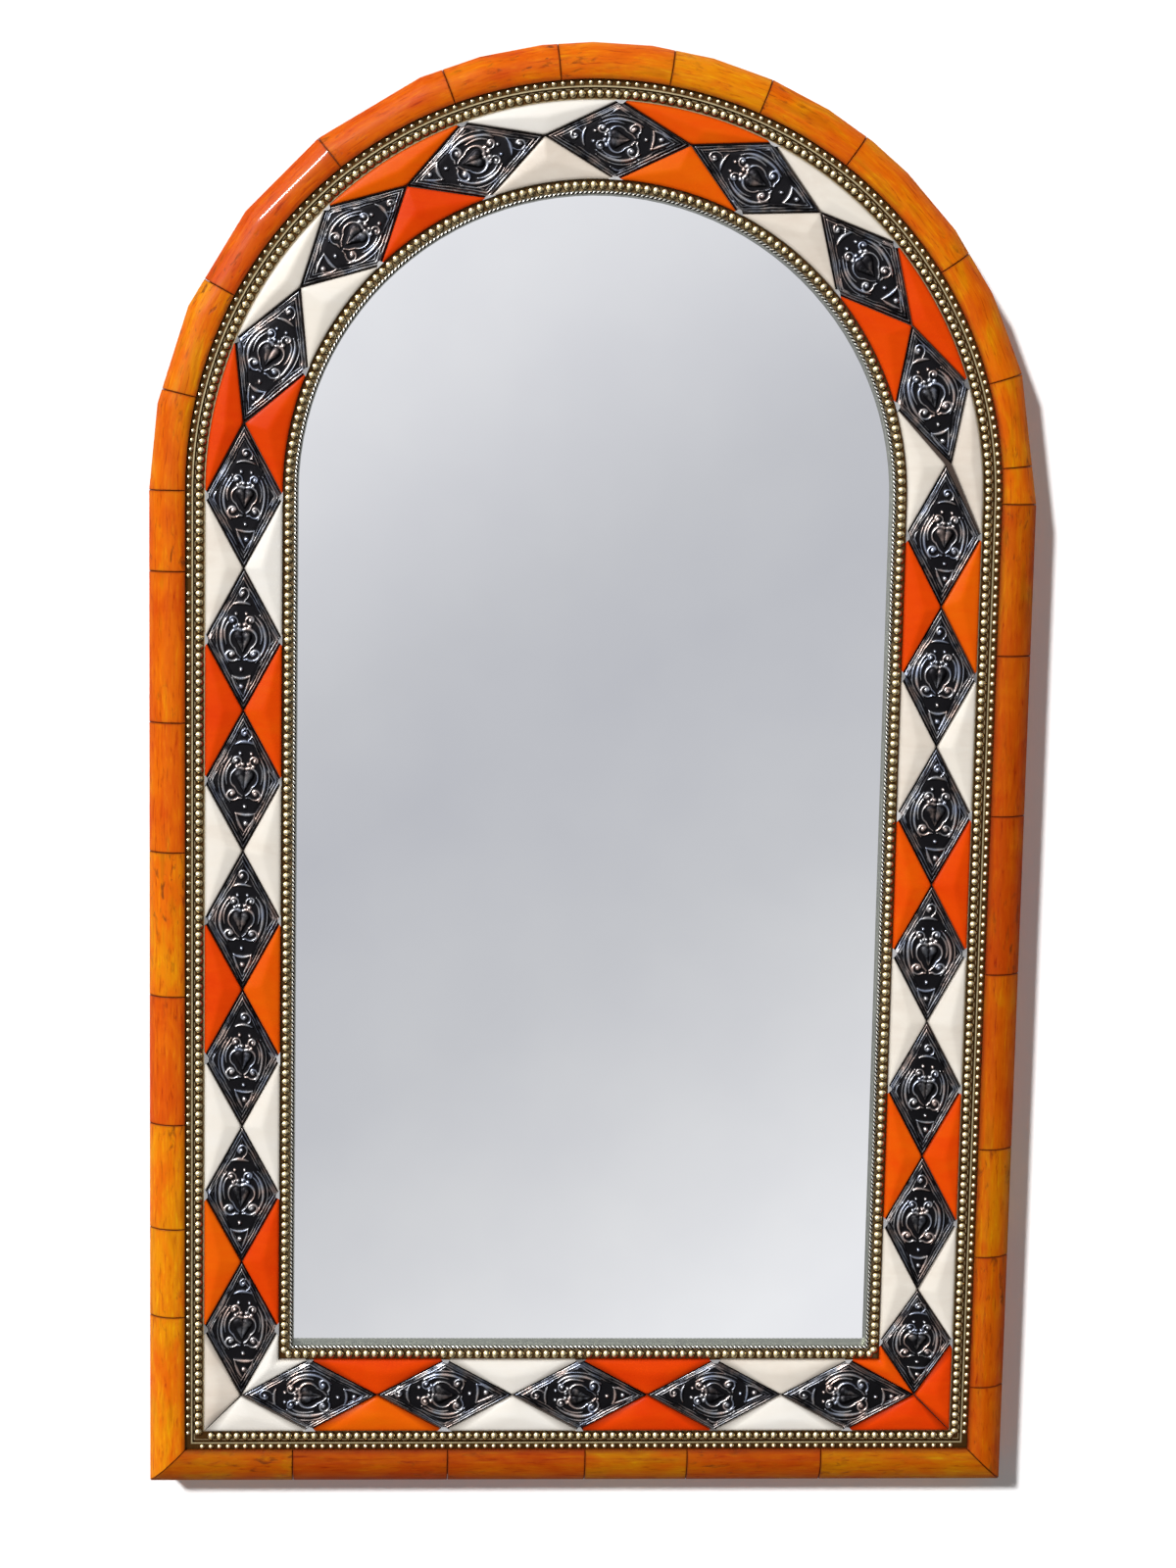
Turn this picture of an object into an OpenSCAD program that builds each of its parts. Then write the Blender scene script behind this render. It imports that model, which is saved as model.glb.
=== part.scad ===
// Arched wall mirror with a bone-tiled border and a band of bone and embossed metal.
// Millimetres. X runs to the right, Z up, and the mirror faces -Y with the wall at Y = 0.
// The origin is midway between the two hanging points, on the wall.
// A profile is drawn as (inset from the outer edge, height above the wall).

/* [Frame] */
// Overall width across the straight sides
frame_w = 488; // [440:2:560]
// Overall height from the foot to the top of the arch
frame_h = 806; // [740:2:900]
// Thickness of the pads that stand the frame off the wall
pad_t = 5; // [5:0.5:8]
// Radius of a wall pad
pad_r = 8; // [5:0.5:9]
// Height of the lower pair of pads above the foot
pad_low_z = 60; // [50:1:120]
// How far the upper pair of pads lies below the ring hinges
pad_drop = 100; // [60:5:200]

/* [Border] */
// Width of the tiled border
border_w = 20; // [18:0.5:24]
// Thickness of the bone tiles
tile_t = 3; // [2:0.25:4]
// Glue line under the tiles of the rounded front
glue_t = 0.1; // [0.1:0.05:0.2]
// Radius of the rounded front of the border
crown_r = 16; // [15:0.5:20]
// Inset of the highest line of the border from its outer edge
crown_inset = 14; // [12:0.5:15]
// Height of the border above the wall at its highest line
crown_h = 38; // [36:0.5:44]
// Width of the wooden shelf inside the border that carries the folded trim
shelf_w = 3.5; // [3:0.25:5]
// How far that shelf lies below the highest line of the border
shelf_drop = 4; // [3:0.5:8]
// Open joint between two neighbouring tiles
tile_joint = 0.3; // [0.2:0.05:0.5]
// Heights of the tile joints on the left side
left_joints = [98, 149, 209, 282, 363, 435, 518];
// Heights of the tile joints on the right side
right_joints = [57, 134, 197, 298, 388, 478];
// Places of the tile joints along the foot, from the centre line
foot_joints = [-163, -75, 3.5, 62, 139];
// Places of the tile joints round the arch, in degrees from the right springing
arch_joints = [5, 17, 34, 54, 68, 81, 96, 111, 129, 152, 167];
// Corners of the flat faces that make up the arch, in degrees from the right springing
facet_corners = [0, 17, 28, 37.5, 47, 53, 60, 68, 76, 84, 91.5, 98, 106, 114, 129, 142, 156, 169, 180];

/* [Boards] */
// Step from the wooden shelf down to the ring of board that carries the inlay
shelf_step = 2; // [1:0.5:4]
// Thickness of the thin board that closes the back
back_board_t = 3; // [2:0.5:5]
// Thickness of the mirror glass
glass_t = 4; // [2:0.5:5]
// How far the face of the glass lies below the face of the ring of board
glass_drop = 5.5; // [4:0.5:10]
// How far the glass reaches behind the ring of board
glass_lap = 7; // [5:0.5:9]
// Clearance round the glass and round the back board
board_gap = 0.5; // [0.3:0.1:1]

/* [Metal trim] */
// Thickness of the sheet that the bead strips are folded from
trim_t = 0.6; // [0.4:0.05:0.8]
// Width of the low ledge of the border strip
ledge_w = 7; // [6.5:0.25:9]
// Radius of the small beads on the high edge of the border strip
small_bead_r = 1.6; // [1.1:0.05:1.7]
// Radius of the large beads on its ledge
large_bead_r = 2.7; // [1.9:0.05:2.8]
// Plain edge of the border strip beside the inlay
ledge_edge = 0.5; // [0.4:0.1:1.5]
// Width of the bead strip round the glass
sight_strip_w = 5.7; // [5.5:0.1:7]
// Radius of its beads
sight_bead_r = 2.7; // [2:0.05:2.8]
// Radius of the twisted wire inside it
rope_r = 0.85; // [0.6:0.05:0.9]
// Width of the seat that the twisted wire lies on
rope_seat = 1.5; // [1.5:0.1:2]
// Clearance between trim and what it lies beside
trim_gap = 0.1; // [0.05:0.05:0.2]

/* [Inlay] */
// Width of the inlaid band
band_w = 42.4; // [38:0.2:48]
// Medallions up the left side, over the arch and down the right side
path_count = 21; // [17:2:23]
// Medallions along the foot
foot_count = 5; // [4:1:6]
// Share of a medallion's length that the last one on the right is cut down by
last_cut = 0.2; // [0:0.05:0.4]
// Gap round every inlaid piece
inlay_gap = 0.25; // [0.15:0.05:0.4]
// Thickness of a medallion's plate
plate_t = 2.6; // [2:0.1:3]
// Height of the embossed lines over the plate
relief_t = 1; // [0.6:0.1:1.4]
// Thickness of a bone piece at its edge
bone_edge_t = 2.8; // [2:0.1:3.5]
// Rise of a bone piece from its edge to its peak
bone_rise = 1.8; // [0.8:0.1:2.5]

/* [Embossing] */
// Outer raised line of a medallion, as shares of its size to the line's two sides
outer_line = [0.99, 0.93];
// Inner raised line, as shares of its size
inner_line = [0.89, 0.85];
// Half length and half width of the oval line's outer side, as shares of the medallion's
oval_outer = [0.58, 0.62];
// Half length and half width of its inner side
oval_inner = [0.53, 0.55];
// Length of the leaf in the middle, as a share of the half length
leaf_share = 0.16; // [0.1:0.02:0.24]
// Radius of the leaf's two lobes, as a share of its length
lobe_share = 0.3; // [0.2:0.05:0.4]
// Offset of a lobe from the leaf's centre line, as a share of the lobe's radius
lobe_offset = 0.8; // [0.6:0.05:0.9]
// How far out on a lobe the leaf's straight flank starts, as a share of the lobe's radius
flank_start = 0.9; // [0.7:0.05:0.95]
// Scrolls inside the oval: way along and way out as shares, then radius as a share of the half width
scrolls = [[-0.24, 0.26, 0.14], [0.27, 0.2, 0.11]];
// Scroll at each long tip: way along as a share, then radius as a share of the half width
tip_scroll = [0.68, 0.11];
// Open middle of a scroll, as a share of its radius
scroll_hole = 0.6; // [0.4:0.05:0.8]

/* [Hanging] */
// How far the ring hinges lie below the springing of the arch
hinge_drop = 32; // [28:2:80]
// Radius of the ring wire
ring_wire_r = 1.2; // [1:0.1:1.3]
// Radius of the ring's bend, to the middle of the wire
ring_bend_r = 7.2; // [6:0.2:8]
// Straight length of the ring's legs
ring_leg = 5; // [3:0.5:7]
// Running clearance of the ring's bar in the strap
hinge_gap = 0.1; // [0.05:0.01:0.1]
// Lean of the ring towards the frame when it stands up
ring_lean = 2; // [0:0.5:3]
// Thickness of the hanger strap
strap_t = 0.8; // [0.6:0.1:1]
// Width of the hanger strap
strap_w = 9; // [7:0.5:9.5]
// Length of the hanger strap below the hinge
strap_l = 38; // [34:1:50]
// Distances of the strap's screws below the hinge
strap_screws = [18, 31];
// Radius of a strap screw's shank
strap_screw_r = 1.5; // [1:0.1:1.6]
// Radius of its head
strap_head_r = 3; // [2.5:0.1:3.5]
// Thickness of its head
strap_head_t = 1.2; // [0.8:0.1:1.5]
// Length of its shank
strap_screw_l = 12; // [8:1:16]

/* [Fixings] */
// Radius of the dowels in the rail joints
dowel_r = 4; // [3:0.5:5]
// Length of these dowels
dowel_l = 40; // [30:2:50]
// Height of the dowels above the wall
dowel_h = 16; // [12:0.5:18]
// Radius of the screws in the foot corners
corner_screw_r = 2; // [1.5:0.1:2.5]
// Radius of their heads
corner_head_r = 4; // [3:0.1:4.5]
// Thickness of their heads
corner_head_t = 2; // [1.5:0.1:3]
// Length of their shanks
corner_screw_l = 45; // [35:1:60]
// Clearance of dowels, screws and pins in their holes
fixing_gap = 0.05; // [0.02:0.01:0.1]
// Inset of the pins that hold the back board
pin_inset = 32; // [30:1:60]
// Radius of a pin
pin_r = 0.8; // [0.6:0.1:1]
// Radius of a pin's head
pin_head_r = 2.2; // [1.5:0.1:3]
// Thickness of a pin's head
pin_head_t = 0.8; // [0.5:0.1:1]
// How far a pin reaches into the ring of board
pin_reach = 9; // [6:0.5:10]
// Pins up each straight side
side_pins = 4; // [2:1:8]
// Pins round the arch
arch_pins = 5; // [3:1:9]
// Pins along the foot
foot_pins = 3; // [2:1:6]

/* [Colours] */
// Amber bone of the border
amber = "#C8690F";
// Ivory bone
ivory = "#E9E4D6";
// Orange bone
orange = "#EE4E0B";
// Brass of the bead strips
brass = "#C9B378";
// Dark embossed metal of the medallions
nickel = "#6D6B74";
// Wood of the rails
cedar = "#8A5A33";
// Plywood of the ring of board
plywood = "#C8A672";

/* [Hidden] */
$fn = 96;
half_w = frame_w / 2;
spring_z = frame_h - half_w;
crown_c = crown_h - crown_r;
tile_bed_r = crown_r - tile_t;
tile_back_r = tile_bed_r + glue_t;
edge_h = crown_c + sqrt(pow(tile_bed_r, 2) - pow(crown_inset - tile_t, 2));
tile_back_from = crown_inset - sqrt(pow(tile_back_r, 2) - pow(edge_h - crown_c, 2));
rail_in = border_w + shelf_w;
rail_mid = (tile_t + rail_in) / 2;
ground_h = pad_t + back_board_t;
shelf_h = crown_h - shelf_drop;
ground_top = shelf_h - shelf_step;
glass_top = ground_top - glass_drop;
glass_h = glass_top - glass_t;
trim_in = rail_in + ledge_w;
band_in = trim_in + band_w;
band_mid = trim_in + band_w / 2;
sight_in = band_in + sight_strip_w;
ground_in = sight_in + rope_seat;
glass_inset = ground_in - glass_lap;
rope_inset = (sight_in + trim_gap + ground_in + trim_t) / 2;
mid_r = half_w - band_mid;
side_l = spring_z - band_mid;
arc_l = PI * mid_r;
path_l = 2 * side_l + arc_l;
path_pitch = path_l / (path_count - last_cut);
foot_pitch = 2 * mid_r / foot_count;
medallion_count = path_count + foot_count;
half_band = band_w / 2;
bone_base_steps = 6;
crown_steps = 7;
widest_face = max([for (k = [1 : len(facet_corners) - 1]) facet_corners[k] - facet_corners[k - 1]]);
least_strip = 0.5;
strip_from = half_w - (half_w - border_w) / cos(widest_face / 2) - least_strip;
round_step = 3;
corner_slack = 0.3;
cut_reach = 1;
arc_steps = 180;
wire_steps = 48;
small_steps = 24;
arch_ends = concat([0], arch_joints, [180]);
joint_a = 90 * tile_joint / (PI * half_w);
apex_gap = inlay_gap * 3;
end_gap = inlay_gap * 6;
hinge_z = spring_z - hinge_drop;
pad_high_z = hinge_z - pad_drop;
hinge_h = pad_t / 2;
knuckle_r = ring_wire_r + hinge_gap + strap_t;
hook_z = hinge_z + ring_leg + ring_bend_r - ring_wire_r;
hanger_x = half_w - rail_mid;
far = frame_w + frame_h;
sliver = 0.01;

MEDALLIONS = [for (i = [1 : medallion_count]) str("medallion_", i < 10 ? "0" : "", i)];

// Puts the finished piece where the hanging points say
module placed() {
  translate([0, 0, -hook_z]) children();
}

// Stands a drawing in X and Z up as a plate between two heights above the wall
module plate(from_h, to_h) {
  translate([0, -from_h, 0]) rotate([90, 0, 0]) linear_extrude(to_h - from_h) children();
}

// The outline of the mirror, drawn in by an inset
module arch_outline(inset) {
  translate([inset - half_w, inset]) square([2 * (half_w - inset), spring_z - inset]);
  translate([0, spring_z]) circle(half_w - inset, $fn = arc_steps);
}

// A profile carried up the left side
module left_run() {
  linear_extrude(spring_z) translate([-half_w, 0]) mirror([0, 1]) children();
}

// A profile carried up the right side
module right_run() {
  linear_extrude(spring_z) translate([half_w, 0]) rotate(180) children();
}

// A profile carried along the foot
module foot_run() {
  translate([-half_w, 0, 0]) rotate([180, 0, 0]) rotate([0, 90, 0]) linear_extrude(frame_w) children();
}

// A profile carried round the arch
module arch_run() {
  translate([0, 0, spring_z]) rotate([90, 0, 0])
    rotate_extrude(angle = 180, $fn = arc_steps) translate([half_w, 0]) mirror([1, 0]) children();
}

// Everything above the two mitres at the foot, less half a joint
module above_mitres(joint = 0) {
  lift = joint * sqrt(2) / 2;
  side = half_w + cut_reach;
  foot = lift - cut_reach;
  top = frame_h + cut_reach;
  plate(-cut_reach, crown_h + cut_reach)
    polygon([[-side, foot], [0, half_w + lift], [side, foot], [side, top], [-side, top]]);
}

// Everything below the two mitres
module below_mitres(joint = 0) {
  drop = joint * sqrt(2) / 2;
  side = half_w + cut_reach;
  foot = -drop - cut_reach;
  plate(-cut_reach, crown_h + cut_reach) polygon([[-side, foot], [side, foot], [0, half_w - drop]]);
}

// A profile carried up, over and down again as one bent piece
module arched_piece(joint = 0) {
  intersection() {
    union() {
      left_run() children();
      arch_run() children();
      right_run() children();
    }
    above_mitres(joint);
  }
}

// A profile carried along the foot between the mitres
module foot_piece(joint = 0) {
  intersection() {
    foot_run() children();
    below_mitres(joint);
  }
}

// How far the flat face at an angle stands in from the round it is cut on, as a factor
function facet_factor(a) = let (
  i = max([for (k = [0 : len(facet_corners) - 2]) facet_corners[k] <= a ? k : 0]),
  middle = (facet_corners[i + 1] + facet_corners[i]) / 2
) cos(facet_corners[i + 1] - middle) / cos(a - middle);

// Two angles with the corners that lie between them
function bends(from_a, to_a) = concat(
  [from_a], [for (c = facet_corners) if (c > from_a + corner_slack && c < to_a - corner_slack) c], [to_a]
);

// Rungs across a closed section of n points, each with the two sides up to the next rung
function rungs(n) = [for (k = [0 : ceil(n / 2) - 2]) k + 1 < n - 2 - k
  ? [k, k + 1, n - 2 - k, n - 1 - k]
  : [k, k + 1, n - 1 - k]];

// A solid carried round the arch from one flat face to the next, with a section of (inset, height)
// points at each angle. A section runs clockwise when inset points right and height up.
module faceted_sweep(sections, angles) {
  n = len(sections[0]);
  rings = len(angles);
  points = [for (j = [0 : rings - 1], p = sections[j]) let (r = (half_w - p[0]) * facet_factor(angles[j]))
    [r * cos(angles[j]), -p[1], spring_z + r * sin(angles[j])]];
  faces = concat(
    [for (f = rungs(n)) [for (k = [len(f) - 1 : -1 : 0]) f[k]]],
    [for (f = rungs(n)) [for (k = f) (rings - 1) * n + k]],
    [for (j = [0 : rings - 2], k = [0 : n - 1]) let (m = (k + 1) % n)
      [j * n + k, j * n + m, (j + 1) * n + m, (j + 1) * n + k]]
  );
  polyhedron(points, faces);
}

// Height of a round of radius r at an inset
function crown_height(r, u) = crown_c + sqrt(pow(r, 2) - pow(u - crown_inset, 2));

// Points along the rounded front from an inset inwards, for a round of a given radius: equal turns as
// far as the last flat strip, and one more point that slides along the strip to the given inset
function crown_points(r, from_u, to_u) = let (
  from_a = asin((from_u - crown_inset) / r),
  to_a = asin((strip_from - crown_inset) / r),
  strip_h = crown_height(r, strip_from),
  slope = (crown_height(r, border_w) - strip_h) / (border_w - strip_from)
) concat(
  [for (k = [0 : crown_steps]) let (a = from_a + (to_a - from_a) * k / crown_steps)
    [crown_inset + r * sin(a), crown_c + r * cos(a)]],
  [[to_u, strip_h + slope * (to_u - strip_from)]]
);

// Inset from the flat outside at which the round inner edge of the border lies, at an angle
function round_inset(a) = half_w - (half_w - border_w) / facet_factor(a);

// A round core on the arch's centre, from a height to the front
module arch_core(inset, from_h) {
  plate(from_h, crown_h + cut_reach) translate([0, spring_z]) circle(half_w - inset, $fn = arc_steps);
}

// Section of the wooden rails
module rail_profile() {
  translate([tile_t, pad_t]) square([border_w - tile_t, edge_h - pad_t]);
  intersection() {
    translate([crown_inset, crown_c]) circle(tile_bed_r);
    translate([tile_t, crown_c]) square([border_w - tile_t, crown_r]);
  }
  translate([border_w - sliver, pad_t]) square([shelf_w + sliver, shelf_h - pad_t]);
}

// Section of the tiles on the rounded front
module tile_profile() {
  difference() {
    intersection() {
      translate([crown_inset, crown_c]) circle(crown_r);
      translate([0, edge_h]) square([border_w, crown_r]);
    }
    translate([crown_inset, crown_c]) circle(tile_back_r);
  }
}

// Section of the tiles on the outer side
module edge_profile() {
  translate([0, pad_t]) square([tile_t, edge_h - pad_t]);
}

// Half round that stands for a row of beads
module bead_rib(r) {
  intersection() {
    circle(r);
    translate([-r, 0]) square([2 * r, r]);
  }
}

// Section of the folded strip between the border and the inlay
module border_strip_profile() {
  translate([rail_in, ground_top]) square([ledge_w, trim_t]);
  translate([rail_in, ground_top]) square([trim_t, shelf_h + trim_t - ground_top]);
  translate([border_w + trim_gap, shelf_h]) square([shelf_w + trim_t - trim_gap, trim_t]);
  translate([trim_in - ledge_edge - large_bead_r, ground_top + trim_t]) bead_rib(large_bead_r);
  translate([border_w + trim_gap + small_bead_r, shelf_h + trim_t]) bead_rib(small_bead_r);
}

// Section of the bead strip round the glass
module sight_strip_profile() {
  translate([band_in, ground_top]) square([sight_strip_w, trim_t]);
  translate([band_in + sight_strip_w / 2, ground_top + trim_t]) bead_rib(sight_bead_r);
}

// Section of the twisted wire
module rope_profile() {
  translate([rope_inset, ground_top + trim_t + rope_r + trim_gap / 2]) circle(rope_r, $fn = small_steps);
}

// Section of the metal lip that runs back to the glass
module lip_profile() {
  translate([ground_in, glass_top + trim_gap]) square([trim_t, ground_top + trim_t - glass_top - trim_gap]);
  translate([sight_in + trim_gap, ground_top]) square([rope_seat + trim_t - trim_gap, trim_t]);
}

// Centres of the back board's pins
function pin_places() = concat(
  [for (side = [-1, 1], i = [0 : side_pins - 1])
    [side * (half_w - pin_inset), pin_inset + (i + 0.5) * (spring_z - pin_inset) / side_pins]],
  [for (i = [0 : arch_pins - 1]) let (a = 180 * (i + 0.5) / arch_pins)
    [(half_w - pin_inset) * cos(a), spring_z + (half_w - pin_inset) * sin(a)]],
  [for (i = [0 : foot_pins - 1]) [(2 * (i + 0.5) / foot_pins - 1) * (half_w - pin_inset), pin_inset]]
);

// Centres of the wall pads
function pad_places() = concat(
  [for (x = [-hanger_x, hanger_x], z = [pad_low_z, pad_high_z]) [x, z]],
  [[0, spring_z + hanger_x]]
);

// Middles of the dowels, each with its direction of turn about Y
function dowel_places() = [[-hanger_x, spring_z, 0], [hanger_x, spring_z, 0], [0, spring_z + hanger_x, 90]];

// Round bars at the dowels, or their holes with a clearance
module dowels(gap = 0) {
  for (p = dowel_places()) {
    translate([p[0], -dowel_h, p[1]]) rotate([0, p[2], 0])
      cylinder(r = dowel_r + gap, h = dowel_l + 2 * gap, center = true);
  }
}

// Screws driven up through the foot corners, or their holes with a clearance
module corner_fixings(gap = 0) {
  for (x = [-hanger_x, hanger_x]) translate([x, -dowel_h, tile_t - gap]) {
    cylinder(r = corner_head_r + gap, h = corner_head_t + 2 * gap);
    cylinder(r = corner_screw_r + gap, h = corner_head_t + corner_screw_l + 2 * gap);
  }
}

// Shanks of the strap screws, or their holes with a clearance
module strap_shanks(gap = 0) {
  for (x = [-hanger_x, hanger_x], drop = strap_screws) {
    translate([x, strap_t - pad_t, hinge_z - drop]) rotate([90, 0, 0])
      cylinder(r = strap_screw_r + gap, h = strap_t + strap_screw_l + gap);
  }
}

// Shanks of the pins, or their holes with a clearance
module pin_shanks(gap = 0) {
  for (p = pin_places()) {
    translate([p[0], -pad_t, p[1]]) rotate([90, 0, 0])
      cylinder(r = pin_r + gap, h = back_board_t + pin_reach + gap, $fn = small_steps);
  }
}

module ground_board() {
  color(plywood) placed() difference() {
    plate(ground_h, ground_top) difference() {
      arch_outline(rail_in);
      arch_outline(ground_in);
    }
    plate(ground_h - cut_reach, glass_top) arch_outline(glass_inset - board_gap);
    pin_shanks(fixing_gap);
  }
}

module side_rail(side) {
  color(cedar) placed() difference() {
    intersection() {
      if (side < 0) left_run() rail_profile();
      if (side > 0) right_run() rail_profile();
      above_mitres();
    }
    dowels(fixing_gap);
    corner_fixings(fixing_gap);
    strap_shanks(fixing_gap);
  }
}

module bottom_rail() {
  color(cedar) placed() difference() {
    foot_piece() rail_profile();
    corner_fixings(fixing_gap);
  }
}

module arch_rail(side) {
  bed = crown_points(tile_bed_r, tile_t, border_w);
  inner_u = rail_in + cut_reach;
  section = concat([[tile_t, pad_t]], bed, [[inner_u, bed[len(bed) - 1][1]], [inner_u, pad_t]]);
  angles = side < 0 ? bends(90, 180) : bends(0, 90);
  color(cedar) placed() difference() {
    faceted_sweep([for (a = angles) section], angles);
    arch_core(rail_in, -cut_reach);
    arch_core(border_w, shelf_h);
    dowels(fixing_gap);
  }
}

module rail_dowels() {
  color(plywood) placed() dowels();
}

module corner_screws() {
  color("silver") placed() corner_fixings();
}

module back_board() {
  color(plywood) placed() difference() {
    plate(pad_t, ground_h) arch_outline(rail_in + board_gap);
    pin_shanks(fixing_gap);
  }
}

module back_board_pins() {
  color("silver") placed() {
    pin_shanks();
    for (p = pin_places()) {
      translate([p[0], pin_head_t - pad_t, p[1]]) rotate([90, 0, 0]) cylinder(r = pin_head_r, h = pin_head_t);
    }
  }
}

module mirror_glass() {
  color("lightsteelblue") placed() plate(glass_h, glass_top) arch_outline(glass_inset);
}

module glass_backing() {
  color("tan") placed() plate(ground_h, glass_h) arch_outline(glass_inset);
}

module hanger_strap(side) {
  color("silver") placed() translate([side * hanger_x, 0, hinge_z]) difference() {
    union() {
      translate([-strap_w / 2, -pad_t, -strap_l]) cube([strap_w, strap_t, strap_l]);
      translate([0, -hinge_h, 0]) rotate([0, 90, 0]) cylinder(r = knuckle_r, h = strap_w, center = true);
    }
    translate([0, -hinge_h, 0]) rotate([0, 90, 0])
      cylinder(r = ring_wire_r + hinge_gap, h = strap_w + 2 * cut_reach, center = true);
    for (drop = strap_screws) {
      translate([0, strap_t + cut_reach - pad_t, -drop]) rotate([90, 0, 0])
        cylinder(r = strap_screw_r + fixing_gap, h = strap_t + 2 * cut_reach);
    }
  }
}

module hanger_ring(side) {
  color("silver") placed() translate([side * hanger_x, -hinge_h, hinge_z]) rotate([ring_lean, 0, 0]) {
    rotate([0, 90, 0]) cylinder(r = ring_wire_r, h = 2 * ring_bend_r, center = true, $fn = wire_steps);
    for (x = [-ring_bend_r, ring_bend_r]) translate([x, 0, 0]) {
      sphere(ring_wire_r, $fn = wire_steps);
      cylinder(r = ring_wire_r, h = ring_leg, $fn = wire_steps);
    }
    translate([0, 0, ring_leg]) rotate([90, 0, 0])
      rotate_extrude(angle = 180) translate([ring_bend_r, 0]) circle(ring_wire_r, $fn = wire_steps);
  }
}

module hanger_screws() {
  color("silver") placed() {
    strap_shanks();
    for (x = [-hanger_x, hanger_x], drop = strap_screws) {
      translate([x, strap_t + strap_head_t - pad_t, hinge_z - drop]) rotate([90, 0, 0])
        cylinder(r = strap_head_r, h = strap_head_t);
    }
  }
}

module wall_pads() {
  color("dimgray") placed() for (p = pad_places()) {
    plate(0, pad_t) translate(p) circle(pad_r);
  }
}

module border_bead_strip_arched() {
  color(brass) placed() arched_piece() border_strip_profile();
}

module border_bead_strip_bottom() {
  color(brass) placed() foot_piece() border_strip_profile();
}

module sight_bead_strip_arched() {
  color(brass) placed() arched_piece() sight_strip_profile();
}

module sight_bead_strip_bottom() {
  color(brass) placed() foot_piece() sight_strip_profile();
}

module rope_wire_arched() {
  color(brass) placed() arched_piece() rope_profile();
}

module rope_wire_bottom() {
  color(brass) placed() foot_piece() rope_profile();
}

module sight_lip_arched() {
  color("darkkhaki") placed() arched_piece() lip_profile();
}

module sight_lip_bottom() {
  color("darkkhaki") placed() foot_piece() lip_profile();
}

// Cuts the open joints across a straight side at a list of heights, and at the springing
module side_joints(joints) {
  for (z = joints) {
    if (z < spring_z - border_w) translate([0, 0, z]) cube([far, far, tile_joint], center = true);
  }
  translate([0, 0, spring_z]) cube([far, far, tile_joint], center = true);
}

// Tiles of one section up a straight side
module side_tiles(side) {
  difference() {
    intersection() {
      if (side < 0) left_run() children();
      if (side > 0) right_run() children();
      above_mitres(tile_joint);
    }
    side_joints(side < 0 ? left_joints : right_joints);
  }
}

// Tiles of one section along the foot
module foot_tiles() {
  difference() {
    foot_piece(tile_joint) children();
    for (x = foot_joints) {
      if (abs(x) < half_w - 2 * border_w) translate([x, 0, 0]) cube([tile_joint, far, far], center = true);
    }
  }
}

// Angles of arch tile i's ends and of the corners between them
function arch_bends(i) = bends(arch_ends[i - 1] + joint_a, arch_ends[i] - joint_a);

module border_tiles_side(side) {
  color(amber) placed() side_tiles(side) tile_profile();
}

// Section of an arch tile at an angle, which ends on the round inner edge of the border
function arch_tile_section(a) = let (
  front = crown_points(crown_r, 0, round_inset(a)),
  back = crown_points(tile_back_r, tile_back_from, round_inset(a))
) concat([[0, edge_h]], front, [for (k = [len(back) - 1 : -1 : 0]) back[k]]);

// Two angles and equal steps between them, without the last
function steps_between(from_a, to_a) = let (count = ceil((to_a - from_a) / round_step))
  [for (k = [0 : count - 1]) from_a + (to_a - from_a) * k / count];

module border_tiles_arch() {
  color(amber) placed() for (i = [1 : len(arch_ends) - 1]) {
    ends = arch_bends(i);
    last = len(ends) - 1;
    angles = concat([for (k = [0 : last - 1]) each steps_between(ends[k], ends[k + 1])], [ends[last]]);
    faceted_sweep([for (a = angles) arch_tile_section(a)], angles);
  }
}

module border_tiles_bottom() {
  color(amber) placed() foot_tiles() tile_profile();
}

module edge_tiles_arched() {
  section = [[0, pad_t], [0, edge_h], [tile_t, edge_h], [tile_t, pad_t]];
  color(amber) placed() {
    side_tiles(-1) edge_profile();
    side_tiles(1) edge_profile();
    for (i = [1 : len(arch_ends) - 1]) faceted_sweep([for (a = arch_bends(i)) section], arch_bends(i));
  }
}

module edge_tiles_foot() {
  color(amber) placed() foot_tiles() edge_profile();
}

// A point of the band by its way along the middle line and its offset towards the outer edge
function on_band(s, out) =
  s < side_l ? [-(mid_r + out), band_mid + s]
  : s < side_l + arc_l ? let (a = 180 * (s - side_l) / arc_l)
      [-(mid_r + out) * cos(a), spring_z + (mid_r + out) * sin(a)]
  : [mid_r + out, spring_z - (s - side_l - arc_l)];

// A point of the band along the foot, from right to left
function on_foot(s, out) = [mid_r - s, band_mid - out];

// Direction of the middle line
function heading(s) = 90 - 180 * min(max(s - side_l, 0), arc_l) / arc_l;

// Where a medallion's two long tips lie along the middle line
function tip_way(i) = i < path_count ? i * path_pitch : path_l;
function middle_way(i) = (tip_way(i) + tip_way(i + 1)) / 2;
function foot_way(j) = (j + 0.5) * foot_pitch;

// Half the length of medallion i, counted from 0
function half_length(i) = (i < path_count ? tip_way(i + 1) - tip_way(i) : foot_pitch) / 2 - inlay_gap;

// Middle and direction of medallion i
function medallion_at(i) = i < path_count
  ? let (s = middle_way(i), p = on_band(s, 0)) [p[0], p[1], heading(s)]
  : concat(on_foot(foot_way(i - path_count), 0), [180]);

// Rhombus outline by its two half diagonals
module rhombus(long, short) {
  polygon([[long, 0], [0, short], [-long, 0], [0, -short]]);
}

// Raised line that follows the rhombus inside its edge, between two shares of its size
module rhombus_line(long, short, shares) {
  difference() {
    rhombus(long * shares[0], short * shares[0]);
    rhombus(long * shares[1], short * shares[1]);
  }
}

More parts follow.
